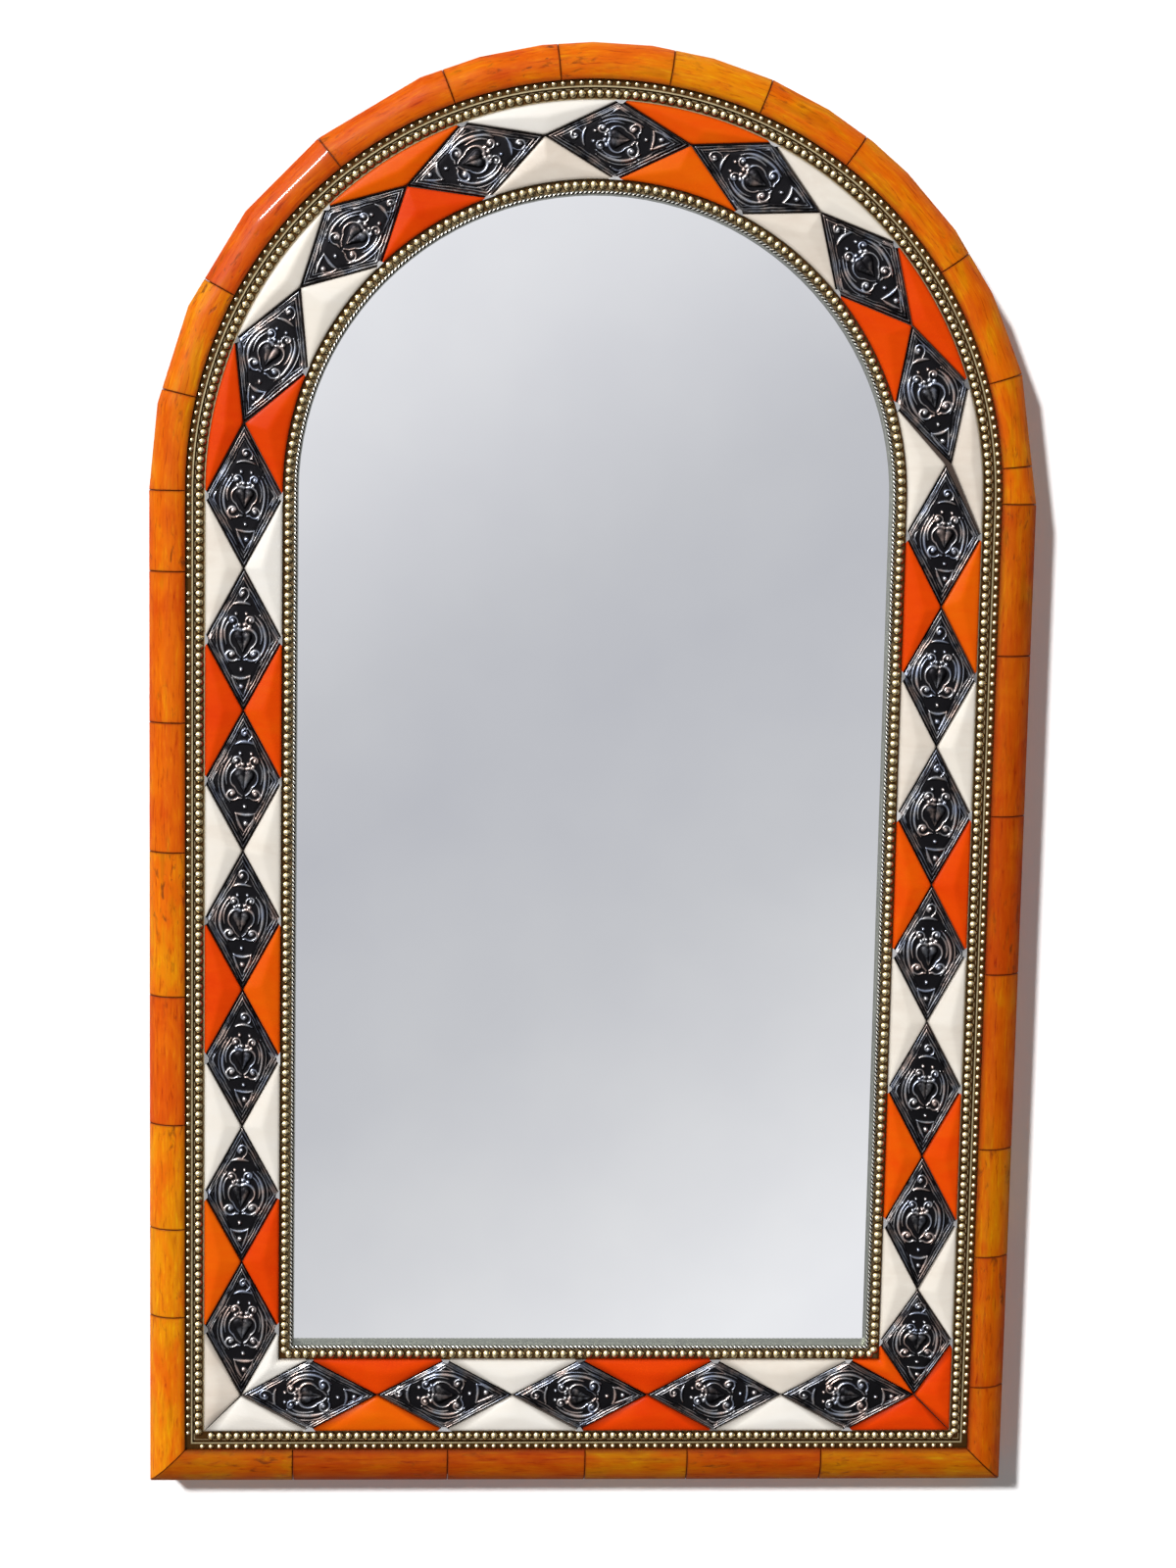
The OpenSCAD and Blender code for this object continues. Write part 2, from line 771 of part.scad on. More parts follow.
// Pointed oval made by two equal arcs
module pointed_oval(long, short) {
  r = (pow(long, 2) + pow(short, 2)) / (2 * short);
  intersection() {
    translate([0, r - short]) circle(r);
    translate([0, short - r]) circle(r);
  }
}

// Leaf with two round lobes and one tip
module leaf(long) {
  lobe_r = long * lobe_share;
  flank = lobe_r * (lobe_offset + flank_start);
  for (side = [-1, 1]) translate([-lobe_r, side * lobe_r * lobe_offset]) circle(lobe_r, $fn = wire_steps);
  polygon([[long, 0], [-lobe_r, flank], [-lobe_r, -flank]]);
}

// Round scroll with an open middle
module scroll(r) {
  difference() {
    circle(r, $fn = wire_steps);
    circle(r * scroll_hole, $fn = wire_steps);
  }
}

// Embossed metal rhombus: stamped figure on a plate, turned end for end on every second one
module medallion(i) {
  at = medallion_at(i);
  long = half_length(i);
  short = half_band - inlay_gap;
  plate_top = ground_top + plate_t;
  line_top = plate_top + relief_t;
  turn = at[2] + (i % 2 == 0 ? 0 : 180);
  color(nickel) placed() {
    plate(ground_top, plate_top) translate([at[0], at[1]]) rotate(at[2]) rhombus(long, short);
    plate(plate_top, line_top) translate([at[0], at[1]]) rotate(turn) {
      rhombus_line(long, short, outer_line);
      rhombus_line(long, short, inner_line);
      difference() {
        pointed_oval(long * oval_outer[0], short * oval_outer[1]);
        pointed_oval(long * oval_inner[0], short * oval_inner[1]);
      }
      leaf(long * leaf_share);
      for (side = [-1, 1], m = scrolls) {
        translate([long * m[0], side * short * m[1]]) scroll(short * m[2]);
      }
      for (end = [-1, 1]) translate([end * long * tip_scroll[0], 0]) scroll(short * tip_scroll[1]);
    }
  }
}

// Bone piece with a flat bed, upright edges and one low peak.
// Its outline runs counter-clockwise as seen from the front.
module bone_piece(outline, peak) {
  n = len(outline);
  low = ground_top;
  high = ground_top + bone_edge_t;
  points = concat(
    [for (p = outline) [p[0], -low, p[1]]],
    [for (p = outline) [p[0], -high, p[1]]],
    [[peak[0], -high - bone_rise, peak[1]]]
  );
  faces = concat(
    [[for (k = [0 : n - 1]) k]],
    [for (k = [0 : n - 1]) let (m = (k + 1) % n) [k, n + k, n + m, m]],
    [for (k = [0 : n - 1]) let (m = (k + 1) % n) [n + k, 2 * n, n + m]]
  );
  polyhedron(points, faces);
}

// Average of a list of points
function middle_of(points, k = 0) = k == len(points) ? [0, 0]
  : points[k] / len(points) + middle_of(points, k + 1);

// One of a medallion's two long tips: 1 is the one further along the band
function tip_of(i, end) = let (at = medallion_at(i))
  [at[0], at[1]] + end * half_length(i) * [cos(at[2]), sin(at[2])];

// Point of the bone beside the meeting tips of medallions i and i + 1, clear of both
function bone_point(i, side) = let (
  here = tip_of(i, 1),
  next = tip_of(i + 1, -1),
  turn = (medallion_at(i)[2] + medallion_at(i + 1)[2]) / 2,
  outwards = [-sin(turn), cos(turn)],
  spread = abs((next - here) * outwards) / 2
) (here + next) / 2 + side * (spread + apex_gap) * outwards;

// Triangle between two neighbouring medallions, with its base on the outer or the inner edge
module band_bone(i, side) {
  on_path = i < path_count;
  from_s = (on_path ? middle_way(i) : foot_way(i - path_count)) + end_gap;
  to_s = (on_path ? middle_way(i + 1) : foot_way(i + 1 - path_count)) - end_gap;
  out = side * (half_band - inlay_gap);
  base = [for (k = [0 : bone_base_steps]) let (s = from_s + (to_s - from_s) * k / bone_base_steps)
    on_path ? on_band(s, out) : on_foot(s, out)];
  ordered = side > 0 ? [for (k = [bone_base_steps : -1 : 0]) base[k]] : base;
  bone_piece(concat([bone_point(i, side)], ordered), (middle_of(base) * 2 + bone_point(i, side)) / 3);
}

// The three pieces in a foot corner: two that share a mitre, and a notched one inside.
// way_up is the height of the upright medallion's middle, way_in the inset of the foot one's.
module corner_bones(side, way_up, way_in) {
  low = trim_in + inlay_gap;
  high = band_in - inlay_gap;
  mitre = tile_joint;
  tip = band_mid;
  x = function(inset) side * (half_w - inset);
  upright = [[x(low), low + mitre], [x(tip - apex_gap), tip], [x(low), way_up - end_gap]];
  lying = [[x(low + mitre), low], [x(way_in - end_gap), low], [x(tip), tip - apex_gap]];
  inner = [
    [x(tip + apex_gap), tip + apex_gap],
    [x(way_in - end_gap), high],
    [x(high), high],
    [x(high), way_up - end_gap]
  ];
  for (outline = [upright, lying, inner]) {
    ordered = side > 0 ? [for (k = [len(outline) - 1 : -1 : 0]) outline[k]] : outline;
    flat = len(outline) == 4 ? [(outline[0] + outline[2]) / 2] : outline;
    bone_piece(ordered, middle_of(flat));
  }
}

// Every bone piece of one colour: gap k lies between medallion k and the next, counted from 1
module bones(parity) {
  for (k = [1 : medallion_count - 1], side = [-1, 1]) {
    if (k != path_count && k % 2 == parity) band_bone(k - 1, side);
  }
  if (path_count % 2 == parity) {
    corner_bones(1, band_mid + path_l - middle_way(path_count - 1), band_mid + foot_way(0));
  }
  if (medallion_count % 2 == parity) corner_bones(-1, band_mid + middle_way(0), band_mid + foot_way(0));
}

module ivory_inlay() {
  color(ivory) placed() bones(0);
}

module orange_inlay() {
  color(orange) placed() bones(1);
}

ground_board();
side_rail(-1);  // side_rail_left
side_rail(1);  // side_rail_right
bottom_rail();
arch_rail(-1);  // arch_rail_left
arch_rail(1);  // arch_rail_right
rail_dowels();
corner_screws();
back_board();
back_board_pins();
mirror_glass();
glass_backing();
hanger_strap(-1);  // hanger_strap_left
hanger_strap(1);  // hanger_strap_right
hanger_ring(-1);  // hanger_ring_left
hanger_ring(1);  // hanger_ring_right
hanger_screws();
wall_pads();
border_bead_strip_arched();
border_bead_strip_bottom();
sight_bead_strip_arched();
sight_bead_strip_bottom();
rope_wire_arched();
rope_wire_bottom();
sight_lip_arched();
sight_lip_bottom();
border_tiles_side(-1);  // border_tiles_left
border_tiles_arch();
border_tiles_side(1);  // border_tiles_right
border_tiles_bottom();
edge_tiles_arched();
edge_tiles_foot();
ivory_inlay();
orange_inlay();
for (i = [1 : medallion_count]) {
  medallion(i - 1);
}
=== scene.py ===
import math

import bmesh
import bpy
import numpy as np
from mathutils import Matrix, Vector


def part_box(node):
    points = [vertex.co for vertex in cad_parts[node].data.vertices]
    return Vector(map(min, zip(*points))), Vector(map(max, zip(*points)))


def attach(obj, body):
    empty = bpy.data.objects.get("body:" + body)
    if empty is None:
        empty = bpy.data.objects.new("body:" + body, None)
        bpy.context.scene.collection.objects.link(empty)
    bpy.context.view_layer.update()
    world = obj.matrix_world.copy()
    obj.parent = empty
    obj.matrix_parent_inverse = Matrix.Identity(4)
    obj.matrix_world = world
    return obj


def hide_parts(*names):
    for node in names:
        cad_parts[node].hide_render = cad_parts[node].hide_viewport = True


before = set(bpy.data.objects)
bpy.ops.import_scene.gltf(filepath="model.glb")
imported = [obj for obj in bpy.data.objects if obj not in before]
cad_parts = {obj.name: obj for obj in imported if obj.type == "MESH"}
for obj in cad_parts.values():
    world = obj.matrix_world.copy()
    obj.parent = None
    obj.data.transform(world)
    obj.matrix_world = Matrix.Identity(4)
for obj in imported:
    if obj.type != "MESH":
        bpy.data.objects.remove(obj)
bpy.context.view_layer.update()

bl_info = {
    "name": "Bone Inlay Mirror",
    "version": (1, 0, 0),
    "blender": (4, 5, 0),
    "location": "View3D > Sidebar > Mirror",
    "description": "Dresses an arched wall mirror's solids with bone tiles, bead strips and an inlaid band",
    "category": "Object",
}

MM = 0.001
BODY = "mirror"


def box_mm(node):
    """Lowest and highest corner of a solid in millimetres."""
    low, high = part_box(node)
    return np.array(low) / MM, np.array(high) / MM


# Places read off the solids, in millimetres

# H, T and TOP count from the wall, IN, INSET and MID from the frame's outer edge, and SPRING from its foot
FOOT_Z = box_mm("edge_tiles_foot")[0][2]
HALF_W = -box_mm("border_tiles_left")[0][0]
SPRING = box_mm("side_rail_left")[1][2] - FOOT_Z
BORDER_W = HALF_W + box_mm("border_tiles_left")[1][0]
CROWN_H = -box_mm("border_tiles_left")[0][1]
EDGE_H = -box_mm("edge_tiles_foot")[0][1]
PAD_T = -box_mm("edge_tiles_foot")[1][1]
RAIL_IN = HALF_W - box_mm("ground_board")[1][0]
GROUND_TOP = -box_mm("ground_board")[0][1]
TRIM_IN = box_mm("border_bead_strip_bottom")[1][2] - FOOT_Z
BAND_IN = box_mm("sight_bead_strip_bottom")[0][2] - FOOT_Z
BAND_MID = (TRIM_IN + BAND_IN) / 2
BAND_HALF = (BAND_IN - TRIM_IN) / 2
SIGHT_IN = box_mm("sight_bead_strip_bottom")[1][2] - FOOT_Z
ROPE_BOX = box_mm("rope_wire_bottom")
ROPE_R = (ROPE_BOX[1][2] - ROPE_BOX[0][2]) / 2
ROPE_INSET = (ROPE_BOX[1][2] + ROPE_BOX[0][2]) / 2 - FOOT_Z
ROPE_H = -(ROPE_BOX[1][1] + ROPE_BOX[0][1]) / 2
MEDALLIONS = sorted(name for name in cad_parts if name.startswith("medallion_"))
FOOT_COUNT = 5
PATH_COUNT = len(MEDALLIONS) - FOOT_COUNT

# Tiles of the border

# Joints as heights above the foot, as places across, and as degrees round the arch from the right
LEFT_JOINTS = (98, 149, 209, 282, 363, 435, 518)
RIGHT_JOINTS = (57, 134, 197, 298, 388, 478)
FOOT_JOINTS = (-163, -75, 3.5, 62, 139)
ARCH_JOINTS = (5, 17, 34, 54, 68, 81, 96, 111, 129, 152, 167)
# Degrees at which the arch's flat faces meet
ARCH_CORNERS = np.array([
    0, 17, 28, 37.5, 47, 53, 60, 68, 76, 84, 91.5, 98, 106, 114, 129, 142, 156, 169, 180])
# Tone of each tile, from ochre at 0 to rust at 1, and how much darker each run of tiles is painted: painted
# shade, most at the right side and the foot, away from the light at the upper left
LEFT_WARMTH = (0.28, 0.15, 0.2, 0.82, 0.38, 0.68, 0.76, 0.6)
RIGHT_WARMTH = (0.6, 0.66, 0.2, 0.6, 0.9, 0.75, 0.6)
FOOT_WARMTH = (0.34, 0.85, 0.7, 0.2, 0.65, 0.25)
ARCH_WARMTH = (0.35, 0.4, 0.5, 0.45, 0.4, 0.12, 0.42, 0.62, 0.75, 0.95, 0.35, 0.5)
PAINTED_SHADE = {"left": 0.0, "arch": 0.03, "right": 0.24, "bottom": 0.38}
# Steps across the front and the back of a tile, and the front's own width in metres
FRONT_STEPS = 18
BACK_STEPS = 5
FRONT_WAY = 0.0256
# Distances from a tile's end at which it has rows of points, and ways round an edge tile, in millimetres
END_ROWS = (0.35, 1.1, 2.6)
EDGE_WAYS = (0, 24, 24.3, 27, 27, 24)
# Darkening across a tile: from its outer edge inwards, up to its inner edge, and on its back
OUTER_RIM = (0.3, 0.12, 0.03)
INNER_RIM = (0.35, 0.85)
BACK_RIM = 0.85

# Beads and twisted wire

# A bead's half length as a share of the pitch, and its height as a share of its radius
BEAD_HALF = 0.47
BEAD_RISE = 0.85
# Rows of points in each lay of the wire
LAY_ROWS = 12

# Medallions and bone pieces

# Rows of points along a plate's side, and how many stampings take turns
PLATE_STEPS = 121
STAMPINGS = 4
# Half length and half width of the rhombus that the stamped figure is drawn for
DRAWN_HALF = (38.7, 21.0)
# How far its middle group is drawn together, and the heart's shine as a share of the other lines'
GROUP_SHARE = 0.84
HEART_SHINE = 0.24
# The dome in millimetres: how far in from the edge it reaches, its rise, and its start below the plate's face
DOME_REACH = 6.5
DOME_RISE = 1.5
DOME_DROP = 1.75
# Gaps that a bone piece keeps from the middles of the medallions beside it, and from their tips
END_GAPS = 4
TIP_GAPS = 1.6

# Seeds of the random draws

BORDER_SEED = 11
INLAY_SEED = 5
FIGURE_SEED = 20

# Light and room

# Ways in which the sun shines and in which the studio's lamp lies
SUN_TOWARDS = (0.60, 1.0, -0.60)
LAMP_TOWARDS = (-0.62, -0.50, 0.60)
# Ends of wall and floor, and the longest of the short rays that they let through, in metres
ROOM_REACH, ROOM_DROP, ROOM_RISE = 6.0, -1.6, 4.0
LIT_WITHIN = 0.04


def length(name, text, default):
    """A size in metres with its default given in millimetres."""
    return bpy.props.FloatProperty(
        name=name, description=text, default=default * MM, unit="LENGTH", precision=5)


def angle(name, text, default):
    """An angle with its default given in degrees."""
    return bpy.props.FloatProperty(
        name=name, description=text, default=math.radians(default), unit="ROTATION")


def number(name, text, default):
    """A plain number."""
    return bpy.props.FloatProperty(name=name, description=text, default=default)


def colour(name, text, default):
    """A colour with its default given as linear red, green and blue."""
    return bpy.props.FloatVectorProperty(
        name=name, description=text, default=default, subtype="COLOR", size=3)


class BorderSettings(bpy.types.PropertyGroup):
    """Sizes and colours of the bone tiles"""

    tile_t: length("Tile thickness", "Thickness of a bone tile", 3)
    joint: length("Joint", "Open joint between two tiles", 0.3)
    crown_r: length("Crown radius", "Radius of the rounded front", 16)
    crown_inset: length("Crown inset", "Inset of the highest line of the border", 14)
    glue_t: length("Glue line", "Glue line under the front tiles", 0.1)
    chamfer: length("Chamfer", "Worn edge at the ends of a tile", 0.3)
    filing: length("Filing", "Depth of the hand-filed unevenness", 0.3)
    ochre: colour("Ochre", "Palest bone", (0.715, 0.240, 0.0008))
    amber: colour("Amber", "Middle bone", (0.69, 0.129, 0.0008))
    rust: colour("Rust", "Reddest bone", (0.58, 0.069, 0.0008))
    seam: colour("Seam", "Darkened bone and glue at the edges of a tile", (0.13, 0.016, 0.003))


class TrimSettings(bpy.types.PropertyGroup):
    """Sizes and colours of the strips, their beads and the twisted wire"""

    sheet_t: length("Sheet", "Thickness of the folded sheet", 0.6)
    pitch: length("Pitch", "Distance from bead to bead", 4.85)
    large_r: length("Large bead", "Radius of a large bead", 2.7)
    small_r: length("Small bead", "Radius of a small bead", 1.6)
    sight_r: length("Sight bead", "Radius of a bead beside the glass", 2.7)
    flange: length("Flange", "Plain edge beside the large beads", 0.5)
    plain_end: length("Plain end", "Unbeaded length at the lower left corner", 6)
    splice: length("Splice", "Unbeaded length where two strips meet on the left", 3)
    splice_z: length("Splice height", "Height of that place above the foot", 512)
    lay: length("Lay", "Distance from strand to strand along the twisted wire", 2.4)
    metal: colour("Metal", "Pale brass of the strips", (0.86, 0.72, 0.42))
    recess: colour("Recess", "Tarnish between the beads", (0.075, 0.034, 0.009))


class InlaySettings(bpy.types.PropertyGroup):
    """Sizes and colours of the medallions and the bone between them"""

    gap: length("Gap", "Gap round every inlaid piece", 0.25)
    bone_t: length("Bone edge", "Thickness of a bone piece at its edge", 2.8)
    rise: length("Rise", "Rise of a bone piece from edge to peak", 1.8)
    plate_t: length("Plate", "Thickness of a medallion's plate", 2.6)
    relief: length("Relief", "Height of the embossed lines", 1.0)
    last_cut: number("Last cut", "Share of a medallion that the last one is cut by", 0.2)
    ivory: colour("Ivory", "Ivory bone", (0.78, 0.72, 0.635))
    orange: colour("Orange", "Orange bone", (0.73, 0.062, 0.0008))
    bright: colour("Bright", "Polished metal on the raised lines", (0.48, 0.48, 0.49))
    dark: colour("Dark", "Oxide in the hollows", (0.011, 0.0105, 0.012))


class BackSettings(bpy.types.PropertyGroup):
    """Sizes and colours of the wood, the pads, the pins and the hangers"""

    pad_r: length("Pad radius", "Radius of a wall pad", 8)
    head_r: length("Screw head", "Radius of a strap screw's head", 3)
    head_t: length("Screw head height", "Height of that head", 1.2)
    shank_r: length("Screw shank", "Radius of a strap screw's shank", 1.5)
    shank_l: length("Screw length", "Length of that shank", 12)
    pin_head_r: length("Pin head", "Radius of a pin's head", 2.2)
    pin_head_t: length("Pin head height", "Height of that head", 0.8)
    strap_t: length("Strap", "Thickness of the hanger strap", 0.8)
    wood: colour("Cedar", "Wood of the rails", (0.25, 0.105, 0.042))
    ply: colour("Plywood", "Wood of the boards", (0.47, 0.31, 0.16))


class StageSettings(bpy.types.PropertyGroup):
    """Place of the camera and strength of the light"""

    eye_x: length("Eye across", "Camera's place across", -95)
    eye_y: length("Eye forward", "Camera's place along Y", -1648)
    eye_z: length("Eye height", "Camera's height", 80)
    lens: number("Lens", "Focal length in mm", 67.5)
    tilt: angle("Tilt", "Turn about X", 7.67)
    swing: angle("Swing", "Turn about up", 3.27)
    roll: angle("Roll", "Turn about the view", -0.64)
    key: number("Key", "Strength of the key light", 3.78)
    fill: number("Fill", "Strength of the light from all round", 0.15)
    behind: number("Behind", "Strength of the light from behind the wall", 0.8)
    lift: number("Lift", "White that the camera sees in wall and floor", 0.05)
    softness: angle("Softness", "Angle that the key light spans", 5)


class Shell:
    """Points in millimetres as (across, height above the wall, height above the foot), faces and values."""

    def __init__(self, points, faces, uv=None, **values):
        self.points = np.asarray(points, float)
        self.faces = [list(map(int, face)) for face in faces]
        count = len(self.points)
        self.uv = np.zeros((count, 2)) if uv is None else np.asarray(uv, float)
        self.values = {k: np.broadcast_to(np.asarray(v, float), (count,)) for k, v in values.items()}


def joined(shells):
    """Puts several shells into one, with their face numbers moved on."""
    starts = np.cumsum([0] + [len(s.points) for s in shells])
    faces = [[k + start for k in face] for s, start in zip(shells, starts) for face in s.faces]
    names = sorted(set().union(*(s.values for s in shells)))
    values = {k: np.concatenate([s.values.get(k, np.zeros(len(s.points))) for s in shells]) for k in names}
    points = np.concatenate([s.points for s in shells])
    return Shell(points, faces, np.concatenate([s.uv for s in shells]), **values)


def full_turn(steps):
    """Angles in even steps round a full turn, without the one that would close it."""
    return np.linspace(0, 2 * math.pi, steps + 1)[:-1]


def grid_faces(rows, cols, wrap=False):
    """Quads of a grid of points; wrap joins the last column to the first."""
    i = np.arange(rows - 1)[:, None]
    j = np.arange(cols if wrap else cols - 1)[None, :]
    k = (j + 1) % cols
    return np.stack([i * cols + j, i * cols + k, (i + 1) * cols + k, (i + 1) * cols + j], -1).reshape(-1, 4)


def tube_shell(across, height, up, along, round_way, **values):
    """A closed profile carried along a path: rows are stations, columns go round, and flat faces end it."""
    rows, cols = across.shape
    points = np.stack([across, height, up], -1).reshape(-1, 3)
    uv = np.stack(np.broadcast_arrays(along, round_way), -1).reshape(-1, 2)
    faces = grid_faces(rows, cols, wrap=True).tolist()
    faces += [list(range(cols))[::-1], list(range((rows - 1) * cols, rows * cols))]
    values = {k: np.broadcast_to(v, (rows, cols)).reshape(-1) for k, v in values.items()}
    return outward(Shell(points, faces, uv, **values))


def signed_volume(points, faces):
    """Six times the volume inside: each face is cut into a fan of triangles, and each triangle adds its first
    corner's dot product with the cross product of the other two."""
    total = 0.0
    for size in {len(face) for face in faces}:
        corners = np.array([face for face in faces if len(face) == size])
        for k in range(1, size - 1):
            a, b, c = points[corners[:, 0]], points[corners[:, k]], points[corners[:, k + 1]]
            total += np.einsum("ij,ij->", a, np.cross(b, c))
    return total


def outward(shell):
    """The same closed shell with its faces turned to point outwards."""
    placed = (shell.points - shell.points.mean(0)) * [1, -1, 1]
    if signed_volume(placed, shell.faces) < 0:
        shell.faces = [face[::-1] for face in shell.faces]
    return shell


def consistent(shell):
    """Turns every face of a closed shell the same way, then outwards."""
    mesh = bpy.data.meshes.new("turning")
    mesh.from_pydata(shell.points.tolist(), [], shell.faces)
    work = bmesh.new()
    work.from_mesh(mesh)
    bmesh.ops.recalc_face_normals(work, faces=work.faces)
    shell.faces = [[v.index for v in face.verts] for face in work.faces]
    work.free()
    bpy.data.meshes.remove(mesh)
    return outward(shell)


def build(name, shell, material, replaces=(), sharp=40):
    """Makes the object: places points in the frame, sets values, and says what it rides on and stands for."""
    mesh = bpy.data.meshes.new(name)
    place = shell.points * [1, -1, 1] + [0, 0, FOOT_Z]
    mesh.from_pydata((place * MM).tolist(), [], shell.faces)
    mesh.validate()
    layer = mesh.uv_layers.new(name="UVMap")
    corners = np.empty(len(mesh.loops), np.int32)
    mesh.loops.foreach_get("vertex_index", corners)
    layer.data.foreach_set("uv", shell.uv[corners].ravel())
    for key, value in shell.values.items():
        attribute = mesh.attributes.new(key, "FLOAT", "POINT")
        attribute.data.foreach_set("value", np.ascontiguousarray(value))
    mesh.shade_smooth()
    mesh.set_sharp_from_angle(angle=math.radians(sharp))
    mesh.update()
    piece = bpy.data.objects.new(name, mesh)
    bpy.context.scene.collection.objects.link(piece)
    piece.data.materials.append(material)
    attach(piece, BODY)
    if replaces:
        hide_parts(*replaces)


def stand_in(node, shells, material, sharp=40, ending="dressed"):
    """The piece that stands for a solid and is named after it."""
    build(f"{node}_{ending}", joined(shells), material, [node], sharp)


def facet_factor(a):
    """Radius of the flat-faced arch over that of the round at an angle: the cosine of half the flat face's
    angle, over the cosine of the angle from the face's middle."""
    face = np.clip(np.searchsorted(ARCH_CORNERS, a + 1e-9, side="right") - 1, 0, len(ARCH_CORNERS) - 2)
    middle = (ARCH_CORNERS[face] + ARCH_CORNERS[face + 1]) / 2
    return np.cos(np.radians(ARCH_CORNERS[face + 1] - middle)) / np.cos(np.radians(a - middle))


def over_arch(way, reference, inset):
    """Place and direction at a way along the line at one inset, read off at another inset.

    The way runs up the left from its mitre, over the arch and down the right. Round the arch the place across
    is minus the radius times the cosine of the angle turned past the left springing, and the place up is the
    springing plus the radius times its sine. The line heads along that sine across and that cosine up.
    """
    radius = HALF_W - reference
    side = SPRING - reference
    turned = np.clip((way - side) / radius, 0, math.pi)
    lift = np.minimum(way, side) - side - np.maximum(way - side - math.pi * radius, 0)
    across = -(HALF_W - inset) * np.cos(turned)
    up = SPRING + lift + (HALF_W - inset) * np.sin(turned)
    return across, up, np.sin(turned), np.cos(turned)


def arch_way_length(inset):
    """Length of the line at an inset from mitre to mitre over the arch."""
    return 2 * (SPRING - inset) + math.pi * (HALF_W - inset)


# Materials

def feed(tree, node, inputs):
    """Links sockets to the inputs of a node and sets plain values there, by the inputs' names or numbers."""
    for key, value in inputs.items():
        socket = node.inputs[key]
        if isinstance(value, bpy.types.NodeSocket):
            tree.links.new(value, socket)
        elif socket.type == "RGBA":
            socket.default_value = tuple(value)[:3] + (1.0,)
        else:
            socket.default_value = value


def node_in(tree, kind, inputs=(), **settings):
    """A node with its settings and its inputs."""
    made = tree.nodes.new(kind)
    for key, value in settings.items():
        setattr(made, key, value)
    feed(tree, made, dict(inputs))
    return made


def ramp_in(tree, stops, source):
    """A colour ramp through (place, colour) stops, fed by a socket."""
    made = node_in(tree, "ShaderNodeValToRGB", {"Fac": source})
    while len(made.color_ramp.elements) < len(stops):
        made.color_ramp.elements.new(0.5)
    for element, (place, shade) in zip(made.color_ramp.elements, stops):
        element.position = place
        element.color = tuple(shade) + (1.0,)
    return made.outputs["Color"]


def mix_in(tree, factor, first, second, blend="MIX"):
    """Mixes two colours; each argument is a socket or a plain value."""
    inputs = {0: factor, 6: first, 7: second}
    return node_in(tree, "ShaderNodeMix", inputs, data_type="RGBA", blend_type=blend).outputs[2]


def maths_in(tree, operation, first, second, clamp=False):
    """One sum on two numbers or sockets."""
    inputs = {0: first, 1: second}
    return node_in(tree, "ShaderNodeMath", inputs, operation=operation, use_clamp=clamp).outputs[0]


def line_in(tree, value, slope, start):
    """The value times a slope, plus a start."""
    return maths_in(tree, "ADD", maths_in(tree, "MULTIPLY", value, slope), start)


def centred_in(tree, value, share, middle=0.5, clamp=False):
    """How far the value is above its middle, times a share."""
    return maths_in(tree, "MULTIPLY", maths_in(tree, "SUBTRACT", value, middle), share, clamp)


def stretched_in(tree, vector, shares):
    """The vector with its three parts multiplied, which draws a pattern out where the share is small."""
    return node_in(tree, "ShaderNodeVectorMath", {0: vector, 1: shares}, operation="MULTIPLY").outputs[0]


def noise_in(tree, vector, scale, detail, roughness, distortion=0.0):
    """Noise on a vector, as a number."""
    return node_in(tree, "ShaderNodeTexNoise", {
        "Vector": vector,
        "Scale": scale,
        "Detail": detail,
        "Roughness": roughness,
        "Distortion": distortion,
    }).outputs["Fac"]


def new_group(name, inputs, outputs):
    """An empty shader node group, the sockets at its start and the node at its end. It takes in a vector and
    the named inputs, colours where their default is a tuple, and puts out numbers and what is named Color."""
    group = bpy.data.node_groups.new(name, "ShaderNodeTree")
    group.interface.new_socket(name="Vector", in_out="INPUT", socket_type="NodeSocketVector")
    for label, value in inputs.items():
        kind = "NodeSocketColor" if isinstance(value, tuple) else "NodeSocketFloat"
        socket = group.interface.new_socket(name=label, in_out="INPUT", socket_type=kind)
        socket.default_value = value
    for label in outputs:
        kind = "NodeSocketColor" if label == "Color" else "NodeSocketFloat"
        group.interface.new_socket(name=label, in_out="OUTPUT", socket_type=kind)
    return group, group.nodes.new("NodeGroupInput").outputs, group.nodes.new("NodeGroupOutput")


def streaks_group():
    """Bone along its first axis: broad bands, fine grain, sparse dark flecks and slow clouds, as numbers."""
    group, start, end = new_group("Bone streaks", {}, ["Grain", "Bands", "Flecks", "Clouds"])

    def drawn_out(share, scale, detail, roughness, distortion):
        vector = stretched_in(group, start["Vector"], (share, 1.0, 1.0))
        return noise_in(group, vector, scale, detail, roughness, distortion)

    flecks = drawn_out(0.4, 230.0, 4.0, 0.6, 0.6)
    feed(group, end, {
        "Grain": drawn_out(0.12, 560.0, 4.0, 0.65, 0.5),
        "Bands": drawn_out(0.16, 130.0, 3.0, 0.5, 0.8),
        "Flecks": centred_in(group, flecks, 7.0, middle=0.57, clamp=True),
        "Clouds": drawn_out(0.6, 48.0, 3.0, 0.6, 0.6),
    })
    return group


